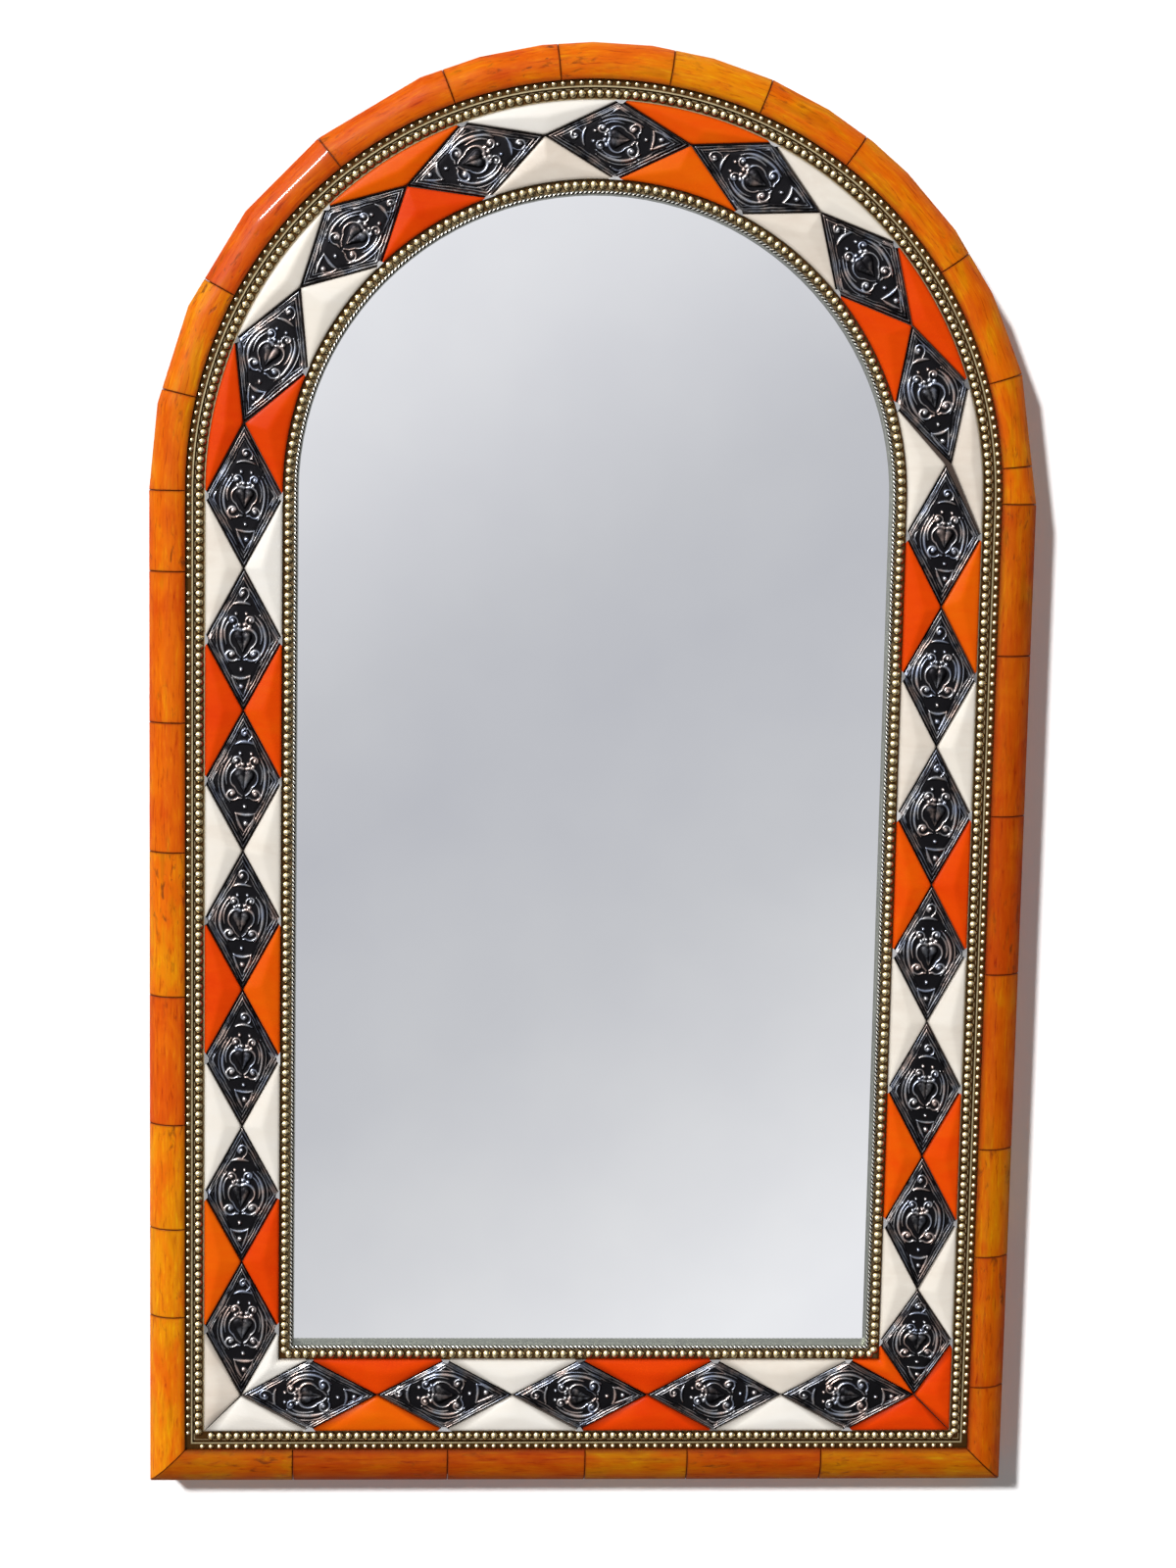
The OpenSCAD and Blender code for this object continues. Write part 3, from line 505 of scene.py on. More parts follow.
def patina_group():
    """Bright metal on high places and tarnish in hollows, mixed by a height value, with uneven edges. The
    bright
    metal can take a painted reflection: blue and warm patches, as of sky and of orange bone nearby.
    """
    inputs = {
        "Height": 1.0,
        "Bright": (0.8, 0.8, 0.8, 1.0),
        "Dark": (0.02, 0.02, 0.02, 1.0),
        "Low": 0.2,
        "High": 0.7,
        "Unevenness": 0.25,
        "Tint": 0.0,
    }
    group, start, end = new_group("Patina", inputs, ["Color", "Roughness"])
    patches = noise_in(group, start["Vector"], 180.0, 4.0, 0.65)
    lifted = maths_in(group, "ADD", start["Height"], centred_in(group, patches, start["Unevenness"]))
    span = {"Value": lifted, "From Min": start["Low"], "From Max": start["High"]}
    worn = node_in(group, "ShaderNodeMapRange", span).outputs["Result"]
    # Painted reflection: slow patches of blue and of warm tint laid on the bright metal
    painted_reflection = ramp_in(
        group, [(0.36, (0.84, 0.95, 1.2)), (0.5, (1.0, 1.0, 1.0)), (0.64, (1.25, 0.95, 0.82))],
        noise_in(group, start["Vector"], 90.0, 2.0, 0.5))
    painted_reflected = mix_in(group, 1.0, start["Bright"], painted_reflection, "MULTIPLY")
    painted_reflected = mix_in(group, start["Tint"], start["Bright"], painted_reflected)
    fine = noise_in(group, start["Vector"], 900.0, 3.0, 0.6)
    rough = maths_in(group, "ADD", line_in(group, worn, -0.22, 0.40), maths_in(group, "MULTIPLY", fine, 0.08))
    feed(group, end, {"Color": mix_in(group, worn, start["Dark"], painted_reflected), "Roughness": rough})
    return group


def wood_group():
    """Wood: bands across the grain bent by noise, fine pores along it, and slow changes of tone."""
    inputs = {"Light": (0.5, 0.3, 0.15, 1.0), "Dark": (0.2, 0.1, 0.05, 1.0), "Spacing": 60.0}
    group, start, end = new_group("Wood grain", inputs, ["Color", "Height"])
    warp = noise_in(group, start["Vector"], 4.0, 3.0, 0.5)
    bent = {
        "Vector": start["Vector"],
        "Scale": start["Spacing"],
        "Distortion": 6.0,
        "Detail": 3.0,
        "Detail Scale": 0.6,
    }
    bands = node_in(group, "ShaderNodeTexWave", bent, wave_type="BANDS", bands_direction="X").outputs["Fac"]
    pores = noise_in(group, stretched_in(group, start["Vector"], (1.0, 1.0, 0.06)), 900.0, 4.0, 0.6)
    bands, pores = (maths_in(group, "MULTIPLY", part, 0.5) for part in (bands, pores))
    tone = maths_in(group, "ADD", bands, pores)
    tone = maths_in(group, "ADD", tone, centred_in(group, warp, 0.6), clamp=True)
    feed(group, end, {"Color": mix_in(group, tone, start["Dark"], start["Light"]), "Height": tone})
    return group


def scuffs_group():
    """Fine scratches and specks on bare metal, rubber or card, as a number round one half."""
    group, start, end = new_group("Scuffs", {"Scale": 300.0}, ["Fac", "Height"])
    specks = noise_in(group, start["Vector"], start["Scale"], 6.0, 0.5)
    scratches = noise_in(group, stretched_in(group, start["Vector"], (1.0, 1.0, 0.12)), 1500.0, 3.0, 0.7)
    both = maths_in(group, "MULTIPLY", maths_in(group, "ADD", specks, scratches), 0.5)
    feed(group, end, {"Fac": both, "Height": scratches})
    return group


MAKERS = {"streaks": streaks_group, "patina": patina_group, "wood": wood_group, "scuffs": scuffs_group}
GROUPS = {}


def group_in(tree, name, inputs):
    """The outputs of a shader node group placed in a material with its own inputs; it is built only once."""
    if name not in GROUPS:
        GROUPS[name] = MAKERS[name]()
    return node_in(tree, "ShaderNodeGroup", inputs, node_tree=GROUPS[name]).outputs


def new_material(name, metallic=0.0, roughness=0.5):
    """A material with a Principled shader, its node tree and the sockets of its coordinates."""
    material = bpy.data.materials.new(name)
    material.use_nodes = True
    tree = material.node_tree
    shader = tree.nodes["Principled BSDF"]
    feed(tree, shader, {"Metallic": metallic, "Roughness": roughness})
    return material, tree, shader, node_in(tree, "ShaderNodeTexCoord").outputs


def value_of(tree, name):
    """A piece's own value, such as its tone or relief, as a number."""
    return node_in(tree, "ShaderNodeAttribute", attribute_name=name).outputs["Fac"]


def bump_in(tree, shader, height, distance, strength):
    """Feeds a height to the shader's normal."""
    bump = node_in(tree, "ShaderNodeBump", {"Height": height, "Distance": distance, "Strength": strength})
    feed(tree, shader, {"Normal": bump.outputs["Normal"]})


def darker(shade, share):
    """A share of a colour."""
    return tuple(part * share for part in shade)


def amber_bone(border):
    """Dyed bone of the border: one tone a tile, broad bands, dark flecks, dark edges and a waxed gloss, with
    painted shade that darkens the runs at the right and the foot.
    """
    material, tree, shader, place = new_material("bone_amber")
    streaks = group_in(tree, "streaks", {"Vector": place["UV"]})
    slow = maths_in(
        tree, "ADD", centred_in(tree, streaks["Clouds"], 1.7), centred_in(tree, streaks["Bands"], 1.3))
    warmth = maths_in(tree, "ADD", value_of(tree, "tone"), slow, clamp=True)
    base = ramp_in(tree, [(0.0, border.ochre), (0.5, border.amber), (1.0, border.rust)], warmth)
    glow = ramp_in(
        tree, [(0.28, (0.78, 0.64, 0.55)), (0.42, (0.98, 0.96, 0.95)), (0.56, (1.0, 1.0, 1.0)),
               (0.63, (1.03, 1.12, 1.2)), (0.74, (1.08, 1.35, 1.6))], streaks["Bands"])
    fine = ramp_in(
        tree, [(0.32, (0.66, 0.42, 0.35)), (0.41, (0.94, 0.91, 0.88)), (0.48, (1.0, 1.0, 1.0)),
               (0.56, (1.0, 1.0, 1.0)), (0.66, (1.06, 1.45, 1.7))], streaks["Grain"])
    for streak in (glow, fine):
        base = mix_in(tree, 1.0, base, streak, "MULTIPLY")
    # Painted shade: the run's deep value darkens it towards near black, as if less lit at the right and the
    # foot
    base = mix_in(tree, value_of(tree, "deep"), base, (0.02, 0.002, 0.0))
    flecks = maths_in(tree, "MULTIPLY", streaks["Flecks"], value_of(tree, "worn"), clamp=True)
    base = mix_in(tree, maths_in(tree, "MULTIPLY", flecks, 0.8), base, (0.15, 0.032, 0.003))
    edges = maths_in(tree, "MULTIPLY", value_of(tree, "rim"), 0.92, clamp=True)
    feed(tree, shader, {
        "Base Color": mix_in(tree, edges, base, border.seam),
        "Roughness": line_in(tree, streaks["Grain"], 0.2, 0.3),
        "Specular IOR Level": 0.05,
        "Coat Weight": 0.09,
        "Coat Roughness": 0.10,
    })
    bump_in(tree, shader, maths_in(tree, "SUBTRACT", streaks["Bands"], flecks), 0.0004, 0.4)
    return material


def inlay_bone(name, shade, warm, pale, gloss):
    """Polished inlay bone: its colour with warm clouds, paler bands, faint streaks and darkened edges."""
    material, tree, shader, place = new_material(name)
    streaks = group_in(tree, "streaks", {"Vector": place["Object"]})
    parts = ((value_of(tree, "tone"), 0.45), (streaks["Clouds"], 0.35), (streaks["Bands"], 0.2))
    tone, clouds, bands = (maths_in(tree, "MULTIPLY", part, share) for part, share in parts)
    mixed = maths_in(tree, "ADD", tone, maths_in(tree, "ADD", clouds, bands))
    base = ramp_in(tree, [(0.25, warm), (0.5, shade), (0.8, pale)], mixed)
    edges = maths_in(tree, "MULTIPLY", value_of(tree, "rim"), 0.75, clamp=True)
    feed(tree, shader, {
        "Base Color": mix_in(tree, edges, base, darker(warm, 0.28)),
        "Roughness": line_in(tree, streaks["Grain"], 0.2, 0.3),
        "Specular IOR Level": gloss,
    })
    bump_in(tree, shader, streaks["Bands"], 0.0003, 0.35)
    return material


def embossed_metal(name, bright, dark, low, high, unevenness, painted_reflection=0.0):
    """Metal with tarnish in its hollows, read from the piece's relief value, and a share of painted
    reflection.
    """
    material, tree, shader, place = new_material(name, metallic=1.0)
    patina = group_in(tree, "patina", {
        "Vector": place["Object"],
        "Height": value_of(tree, "relief"),
        "Bright": bright,
        "Dark": dark,
        "Low": low,
        "High": high,
        "Unevenness": unevenness,
        "Tint": painted_reflection,
    })
    feed(tree, shader, {"Base Color": patina["Color"], "Roughness": patina["Roughness"]})
    bump_in(tree, shader, group_in(tree, "scuffs", {"Vector": place["Object"]})["Fac"], 0.0001, 0.4)
    return material


def scuffed(name, shade, specks, uneven, roughness, metallic=0.0, scale=300.0):
    """A material with specks of a darker shade and uneven roughness, with its tree, shader and scuffs."""
    material, tree, shader, place = new_material(name, metallic)
    scuffs = group_in(tree, "scuffs", {"Vector": place["Object"], "Scale": scale})
    base = ramp_in(tree, [(0.35, darker(shade, specks)), (0.65, shade)], scuffs["Fac"])
    feed(tree, shader, {"Base Color": base, "Roughness": line_in(tree, scuffs["Fac"], uneven, roughness)})
    return material, tree, shader, scuffs


def plain_metal(name, shade, roughness):
    """Sheet or wire metal with fine scratches and faint clouding."""
    material, tree, shader, scuffs = scuffed(name, shade, 0.72, 0.3, roughness - 0.15, metallic=1.0)
    bump_in(tree, shader, scuffs["Height"], 0.00005, 0.3)
    return material


def dull_material(name, shade, roughness, scale, depth):
    """Matt rubber, card or filler with specks."""
    material, tree, shader, scuffs = scuffed(name, shade, 0.7, 0.15, roughness, scale=scale)
    bump_in(tree, shader, scuffs["Fac"], depth, 0.5)
    return material


def wooden(name, light, share, spacing, turn):
    """Wood with its grain along Z, turned by three angles; its dark bands have a share of its brightness."""
    material, tree, shader, place = new_material(name)
    turned = node_in(tree, "ShaderNodeMapping", {"Vector": place["Object"], "Rotation": turn})
    grain = group_in(tree, "wood", {
        "Vector": turned.outputs["Vector"],
        "Light": light,
        "Dark": darker(light, share),
        "Spacing": spacing,
    })
    rough = line_in(tree, grain["Height"], 0.15, 0.52)
    feed(tree, shader, {"Base Color": grain["Color"], "Roughness": rough})
    bump_in(tree, shader, grain["Height"], 0.0002, 0.5)
    return material


def silvered_glass():
    """Mirror glass: a silver surface with the faintest haze."""
    material, tree, shader, place = new_material("mirror_glass", metallic=1.0)
    haze = noise_in(tree, place["Object"], 14.0, 3.0, 0.5)
    base = ramp_in(tree, [(0.3, (0.86, 0.87, 0.89)), (0.7, (0.90, 0.91, 0.92))], haze)
    feed(tree, shader, {"Base Color": base, "Roughness": maths_in(tree, "MULTIPLY", haze, 0.02)})
    return material


def dress(material, *nodes):
    """Gives carried-over solids a material."""
    for name in nodes:
        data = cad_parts[name].data
        data.materials.clear()
        data.materials.append(material)


# Border of tiles

def crown_profile(border, inner, lowered):
    """Closed section of a tile at every station, as arrays of inset and height.

    The front is an arc from the outer edge to the inner one: its inset is that of the crown plus the radius
    times the sine of the turn, and its height is that of the arc's centre plus the radius times the cosine,
    with the radius drawn in by lowered. The back is such an arc with the radius of the wood and the glue.
    """
    crown_r = border.crown_r / MM
    back_r = crown_r - (border.tile_t - border.glue_t) / MM
    inset = border.crown_inset / MM
    centre = CROWN_H - crown_r
    back_from = inset - math.sqrt(back_r**2 - (EDGE_H - centre) ** 2)

    def arc(radius, start, steps, drawn_in):
        first = np.arcsin((start - inset) / radius)
        last = np.arcsin((inner - inset) / radius)
        turn = first + (last - first) * np.linspace(0, 1, steps)
        return inset + (radius - drawn_in) * np.sin(turn), centre + (radius - drawn_in) * np.cos(turn)

    front_u, front_h = arc(crown_r, 0.0, FRONT_STEPS, lowered)
    back_u, back_h = arc(back_r, back_from, BACK_STEPS, 0.0)
    across = np.concatenate([np.zeros((len(inner), 1)), front_u, back_u[:, ::-1]], 1)
    return across, np.concatenate([np.full((len(inner), 1), EDGE_H), front_h, back_h[:, ::-1]], 1)


def edge_profile(border, stations, chamfer):
    """Closed section of an edge tile: an upright rectangle with a small chamfer at both outer corners."""
    tile_t = border.tile_t / MM
    across = np.array([0.0, 0.0, chamfer, tile_t, tile_t, chamfer])
    height = np.array([PAD_T + chamfer, EDGE_H - chamfer / 3, EDGE_H, EDGE_H, PAD_T, PAD_T])
    return np.tile(across, (stations, 1)), np.tile(height, (stations, 1))


def tile_stations(way, extra):
    """Shares of a tile's length: several close to each end, then even steps and given extras."""
    close = np.array(END_ROWS) / way
    steps = np.linspace(close[-1], 1 - close[-1], max(int(way / 6), 3))
    return np.unique(np.round(np.concatenate([[0, 1], close, 1 - close, steps, np.array(extra)]), 6))


def tile_rim(share, way):
    """Darkening at the ends of a tile: strong in the joint, fading out within some millimetres."""
    from_end = np.minimum(share, 1 - share) * way
    return np.interp(from_end, (0, *END_ROWS, 6), (1.0, 0.45, 0.08, 0.04, 0.0))


def straight_tile(side, low, high, mitred_low):
    """Places across and up on a straight side for shares of the length and insets."""
    def place(share, inset):
        start = inset + low if mitred_low else np.full_like(inset, low)
        return side * (HALF_W - inset), start + (high - start) * share
    return place, high - low


def foot_tile(left, right, mitred_left, mitred_right):
    """Places across and up along the foot."""
    def place(share, inset):
        start = left + inset if mitred_left else np.full_like(inset, left)
        stop = right - inset if mitred_right else np.full_like(inset, right)
        return start + (stop - start) * share, inset
    return place, right - left


def arch_tile(from_a, to_a):
    """Places across and up round the arch, on its flat faces: the radius times the cosine and the sine."""
    def place(share, inset):
        a = from_a + (to_a - from_a) * share
        radius = (HALF_W - inset) * facet_factor(a)
        return radius * np.cos(np.radians(a)), SPRING + radius * np.sin(np.radians(a))
    return place, math.radians(to_a - from_a) * HALF_W


def arch_extras(from_a, to_a):
    """Shares at which the corners of the flat faces lie within a tile."""
    inside = ARCH_CORNERS[(ARCH_CORNERS > from_a + 0.3) & (ARCH_CORNERS < to_a - 0.3)]
    return (inside - from_a) / (to_a - from_a)


def tile_runs(border):
    """Every tile by node: its place function, its length, its extra stations and its tone."""
    gap = border.joint / MM / 2
    lift = gap * 2 * math.sqrt(0.5)
    turn = math.degrees(gap / HALF_W)
    runs = {"left": [], "right": [], "bottom": [], "arch": []}
    sides = (("left", -1, LEFT_JOINTS, LEFT_WARMTH), ("right", 1, RIGHT_JOINTS, RIGHT_WARMTH))
    for key, side, joints, warmth in sides:
        ends = (0,) + joints + (SPRING,)
        for k, warm in enumerate(warmth):
            low = lift if k == 0 else ends[k] + gap
            runs[key].append(straight_tile(side, low, ends[k + 1] - gap, k == 0) + ((), warm))
    ends = (-HALF_W,) + FOOT_JOINTS + (HALF_W,)
    last = len(FOOT_WARMTH) - 1
    for k, warm in enumerate(FOOT_WARMTH):
        left = ends[k] + (lift if k == 0 else gap)
        right = ends[k + 1] - (lift if k == last else gap)
        runs["bottom"].append(foot_tile(left, right, k == 0, k == last) + ((), warm))
    ends = (0,) + ARCH_JOINTS + (180,)
    for k, warm in enumerate(ARCH_WARMTH):
        from_a, to_a = ends[k] + turn, ends[k + 1] - turn
        runs["arch"].append(arch_tile(from_a, to_a) + (arch_extras(from_a, to_a), warm))
    return runs


def round_inset(across, up):
    """Inset on the flat faces at which the round inner edge lies, for stations on the outer line."""
    a = np.degrees(np.arctan2(up - SPRING, across))
    return np.where(a > 0, HALF_W - (HALF_W - BORDER_W) / facet_factor(np.clip(a, 0, 180)), BORDER_W)


def front_tile(border, run, key, rng):
    """One tile of the rounded front, uneven by low waves and worn at its ends: three sine waves along and
    across it are added up, and they fade to nothing at both edges."""
    place, way, extra, warm = run
    share = tile_stations(way, extra)[:, None]
    outer = place(share, np.zeros_like(share))
    inner = round_inset(*outer) if key == "arch" else np.full_like(share, BORDER_W)
    ends = np.where((share <= 0) | (share >= 1), border.chamfer / MM, 0.0)
    clear = np.zeros(FRONT_STEPS + 1 - len(OUTER_RIM) - len(INNER_RIM))
    across_rim = np.concatenate([OUTER_RIM, clear, INNER_RIM, np.full(BACK_STEPS, BACK_RIM)])
    rim = np.maximum(tile_rim(share, way), across_rim[None, :])
    worn = np.broadcast_to(rng.uniform(-0.4, 1.2) + 1.5 * (share - 0.5) * rng.choice([-1, 1]), rim.shape)
    phase = rng.uniform(0, 2 * math.pi, 4)
    column = np.linspace(0, 1, FRONT_STEPS)[None, :]
    waves = np.sin(share * way / rng.uniform(7, 12) + phase[0] + 2.2 * column)
    waves = waves + 0.7 * np.sin(share * way / rng.uniform(3.5, 6) + phase[1] - 3 * column)
    waves = waves + 1.3 * np.sin(column * rng.uniform(5, 8) + phase[2])
    lowered = ends + border.filing / MM * (3 + waves) / 6 * np.sin(math.pi * column) ** 0.5
    inset, height = crown_profile(border, inner, lowered)
    across, up = place(share, inset)
    start = rng.uniform(0, 1)
    round_way = np.concatenate([[0], np.linspace(0, 1, FRONT_STEPS), np.linspace(1, 0.1, BACK_STEPS)])
    # The deep value is painted shade: it darkens the whole run, most at the right side and the foot
    return tube_shell(
        across, height, up, start + share * way * MM, round_way[None, :] * FRONT_WAY + start,
        tone=warm, rim=rim, worn=worn, deep=PAINTED_SHADE[key])


def edge_tile(border, run, rng):
    """One tile of the flat outer side."""
    place, way, extra, warm = run
    share = tile_stations(way, extra)[:, None]
    inset, height = edge_profile(border, len(share), border.chamfer / MM)
    ends = np.where((share <= 0) | (share >= 1), border.chamfer / MM / 2, 0.0)
    inset = np.where(inset < border.tile_t / MM / 2, inset + ends, inset)
    across, up = place(share, inset)
    start = rng.uniform(0, 1)
    round_way = np.array(EDGE_WAYS) * MM + start
    return tube_shell(
        across, height, up, start + share * way * MM, round_way[None, :],
        tone=warm, rim=tile_rim(share, way), worn=0.5)


class MIRROR_OT_border(bpy.types.Operator):
    """Bone tiles of the rounded front and the flat outer side, tile by tile"""

    bl_idname = "mirror.border"
    bl_label = "Border tiles"

    def execute(self, context):
        border = context.scene.mirror_border
        rng = np.random.default_rng(BORDER_SEED)
        bone = amber_bone(border)
        runs = tile_runs(border)
        for key, tiles in runs.items():
            fronts = [front_tile(border, run, key, rng) for run in tiles]
            stand_in(f"border_tiles_{key}", fronts, bone, 28)
        nodes = {"edge_tiles_arched": ("left", "arch", "right"), "edge_tiles_foot": ("bottom",)}
        for node, keys in nodes.items():
            edges = [edge_tile(border, run, rng) for key in keys for run in runs[key]]
            stand_in(node, edges, bone, 28)
        return {"FINISHED"}


# Bead strips, twisted wire and lips

def sheet_shell(across, up, along, inset, height, relief):
    """A closed section of insets and heights at every row of places."""
    height = np.tile(height, (len(across), 1))
    return tube_shell(across, height, up, along, (inset * MM)[None, :], relief=relief)


def arched_sheet(inset, height, relief):
    """A section carried up, over and down between the mitres. Round the arch its place across is minus the
    radius times the cosine of the turn, and its place up is the springing plus the radius times the sine."""
    turn = np.linspace(0, math.pi, 121)[:, None]
    radius = HALF_W - inset
    across = np.concatenate([[-radius], -radius * np.cos(turn), [radius]])
    up = np.concatenate([[inset], SPRING + radius * np.sin(turn), [inset]])
    along = np.linspace(0, arch_way_length(inset[0]), len(across))[:, None] * MM
    return sheet_shell(across, up, along, inset, height, relief)


def foot_sheet(inset, height, relief):
    """The same section carried along the foot between the mitres."""
    share = np.linspace(-1, 1, 9)[:, None]
    across = share * (HALF_W - inset)
    up = np.broadcast_to(inset, across.shape)
    return sheet_shell(across, up, share * HALF_W * MM, inset, height, relief)


def bead_shell(across, up, forward_x, forward_z, base_h, pitch, radius):
    """Rows of domed beads on flat closed beds. Along the row, a bead's point lies at its half length times
    the cosine of the turn times the sine of the tilt, sideways at its radius times both sines, and above its
    bed at its height times the cosine of the tilt. The half length is never more than the radius."""
    turn = full_turn(10)
    tilt = np.radians([90, 66, 42, 20])[:, None]
    rings = np.broadcast_arrays(np.cos(turn) * np.sin(tilt), np.sin(turn) * np.sin(tilt), np.cos(tilt))
    dome = np.concatenate([np.stack(rings, -1).reshape(-1, 3), [[0, 0, 1]]])
    top, size, sides = len(dome) - 1, len(dome), len(turn)
    quads = grid_faces(len(tilt), sides, wrap=True).tolist()
    cap = [[top - sides + k, top - sides + (k + 1) % sides, top] for k in range(sides)]
    along, sideways = dome[:, 0] * min(pitch * BEAD_HALF, radius), dome[:, 1] * radius
    height = base_h + dome[:, 2] * radius * BEAD_RISE
    x = across[:, None] + along * forward_x[:, None] + sideways * forward_z[:, None]
    z = up[:, None] + along * forward_z[:, None] - sideways * forward_x[:, None]
    points = np.stack([x, np.broadcast_to(height, x.shape), z], -1).reshape(-1, 3)
    first = outward(Shell(points[:size], quads + cap + [list(range(sides))[::-1]]))
    faces = [[k + size * n for k in face] for n in range(len(across)) for face in first.faces]
    return Shell(points, faces, points[:, [0, 2]] * MM, relief=np.tile(dome[:, 2], len(across)))


def bead_ways(total, pitch):
    """Ways of the bead middles along a line, in whole beads that fit between the mitres."""
    count = int(total / pitch)
    return (np.arange(count) + 0.5) * total / count


def arched_beads(reference, inset, radius, base_h, pitch, bare=(0, 0)):
    """A row of beads up, over and down, in step with the reference line, and none in the bare stretch."""
    way = bead_ways(arch_way_length(reference), pitch)
    way = way[(way <= bare[0]) | (way >= bare[1])]
    return bead_shell(*over_arch(way, reference, inset), base_h, pitch, radius)


def foot_beads(reference, inset, radius, base_h, pitch, bare=(0, 0)):
    """A row of beads along the foot from the left mitre to the right one, and none in the bare stretch."""
    total = 2 * (HALF_W - reference)
    across = bead_ways(total, pitch) - total / 2
    across = across[(across <= bare[0]) | (across >= bare[1])]
    one = np.ones_like(across)
    return bead_shell(across, inset * one, one, 0 * one, base_h, pitch, radius)


def border_strip_section(trim):
    """Insets, heights and reliefs round the folded strip: the ledge beside the inlay, the riser, painted near
    black as tarnish with painted shade in its groove, and the shelf's flange. After them come the shelf's
    height and the inset of its outer edge."""
    t = trim.sheet_t / MM
    top, riser, ledge = GROUND_TOP + t, RAIL_IN + t, TRIM_IN - trim.flange / MM
    strip_low, _ = box_mm("border_bead_strip_bottom")
    shelf_h = -strip_low[1] - trim.small_r / MM
    outer = HALF_W + strip_low[0]
    # The foot and face of the riser get reliefs below nothing, which paints the groove near black: tarnish
    # with painted shade
    rows = [
        (TRIM_IN, GROUND_TOP, 0.3), (TRIM_IN, top, 0.6), (ledge, top, 0.3), (ledge - 0.7, top, 0.12),
        (riser + 1.3, top, 0.2), (riser + 0.9, top, 0.55), (riser + 0.3, top, -0.4), (riser, top, -0.6),
        (riser, shelf_h - 0.6, -0.6), (riser, shelf_h, 0.75), (riser - 0.5, shelf_h, 0.5),
        (riser - 1.0, shelf_h, 0.15), (outer, shelf_h, 0.0), (outer, shelf_h - t, 0.0),
        (RAIL_IN, shelf_h - t, 0.0), (RAIL_IN, GROUND_TOP, 0.0),
    ]
    return np.array(rows).T, shelf_h, outer


class MIRROR_OT_trim(bpy.types.Operator):
    """Folded strips with their beads, the twisted wire and the lips beside the glass"""

    bl_idname = "mirror.trim"
    bl_label = "Metal trim"

    def border_strip(self, trim, metal):
        """The strip between the border and the band, in its two lengths."""
        section, shelf_h, outer = border_strip_section(trim)
        pitch, top = trim.pitch / MM, GROUND_TOP + trim.sheet_t / MM
        large, small = trim.large_r / MM, trim.small_r / MM
        large_inset = TRIM_IN - trim.flange / MM - large
        small_inset = outer + small
        large_row = (large_inset, large_inset, large, top, pitch)
        small_row = (large_inset, small_inset, small, shelf_h, pitch)
        splice, splice_way = trim.splice / MM, trim.splice_z / MM - large_inset
        stand_in("border_bead_strip_arched", [
            arched_sheet(*section),
            arched_beads(*large_row),
            arched_beads(*small_row, (splice_way - splice, splice_way + splice)),
        ], metal)
        stand_in("border_bead_strip_bottom", [
            foot_sheet(*section),
            foot_beads(*large_row, (-HALF_W, 0.5 + TRIM_IN - HALF_W)),
            foot_beads(*small_row, (-HALF_W, trim.plain_end / MM + small_inset - HALF_W)),
        ], metal)

    def sight_strip(self, trim, metal):
        """The single-row strip round the glass, in its two lengths."""
        top = GROUND_TOP + trim.sheet_t / MM
        section = np.array([
            (SIGHT_IN, GROUND_TOP, 0.0), (SIGHT_IN, top, 0.28),
            (BAND_IN, top, 0.18), (BAND_IN, GROUND_TOP, 0.0),
        ]).T
        middle = (SIGHT_IN + BAND_IN) / 2
        row = (middle, middle, trim.sight_r / MM, top, trim.pitch / MM)
        stand_in("sight_bead_strip_arched", [arched_sheet(*section), arched_beads(*row)], metal)
        stand_in("sight_bead_strip_bottom", [foot_sheet(*section), foot_beads(*row)], metal)

    def rope(self, trim, metal):
        """Two twisted strands. The twist turns half round in each lay, and the radius is the wire's own times
        a sum: 0.55, and half the size of the cosine of the angle round the wire less the twist."""
        lay = trim.lay / MM
        around = full_turn(10)[None, :]
        for key, total in (("arched", arch_way_length(ROPE_INSET)), ("bottom", 2 * (HALF_W - ROPE_INSET))):
            way = np.linspace(0, total, int(total / lay * LAY_ROWS))[:, None]
            strand = np.abs(np.cos(around - math.pi * way / lay))
            radius = ROPE_R * (0.55 + 0.5 * strand)
            inset = ROPE_INSET + radius * np.cos(around)
            height = ROPE_H + radius * np.sin(around)
            if key == "arched":
                across, up, _, _ = over_arch(way, ROPE_INSET, inset)
            else:
                across, up = np.broadcast_to(way - total / 2, inset.shape), inset
            wire = tube_shell(across, height, up, way * MM, around * ROPE_R * MM, relief=strand)
            stand_in(f"rope_wire_{key}", [wire], metal, 80)

    def execute(self, context):
        trim = context.scene.mirror_trim
        brass = embossed_metal("brass_trim", trim.metal, trim.recess, 0.2, 0.85, 0.3)
        wire = embossed_metal("twisted_wire", (0.92, 0.90, 0.82), (0.012, 0.008, 0.005), 0.62, 0.86, 0.05)
        self.border_strip(trim, brass)
        self.sight_strip(trim, brass)
        self.rope(trim, wire)
        dress(plain_metal("lip_metal", (0.27, 0.28, 0.22), 0.34), "sight_lip_arched", "sight_lip_bottom")
        return {"FINISHED"}


# Inlaid band

def path_pitch(inlay):
    """Length of a medallion with its gap along the band's middle line."""
    return arch_way_length(BAND_MID) / (PATH_COUNT - inlay.last_cut)


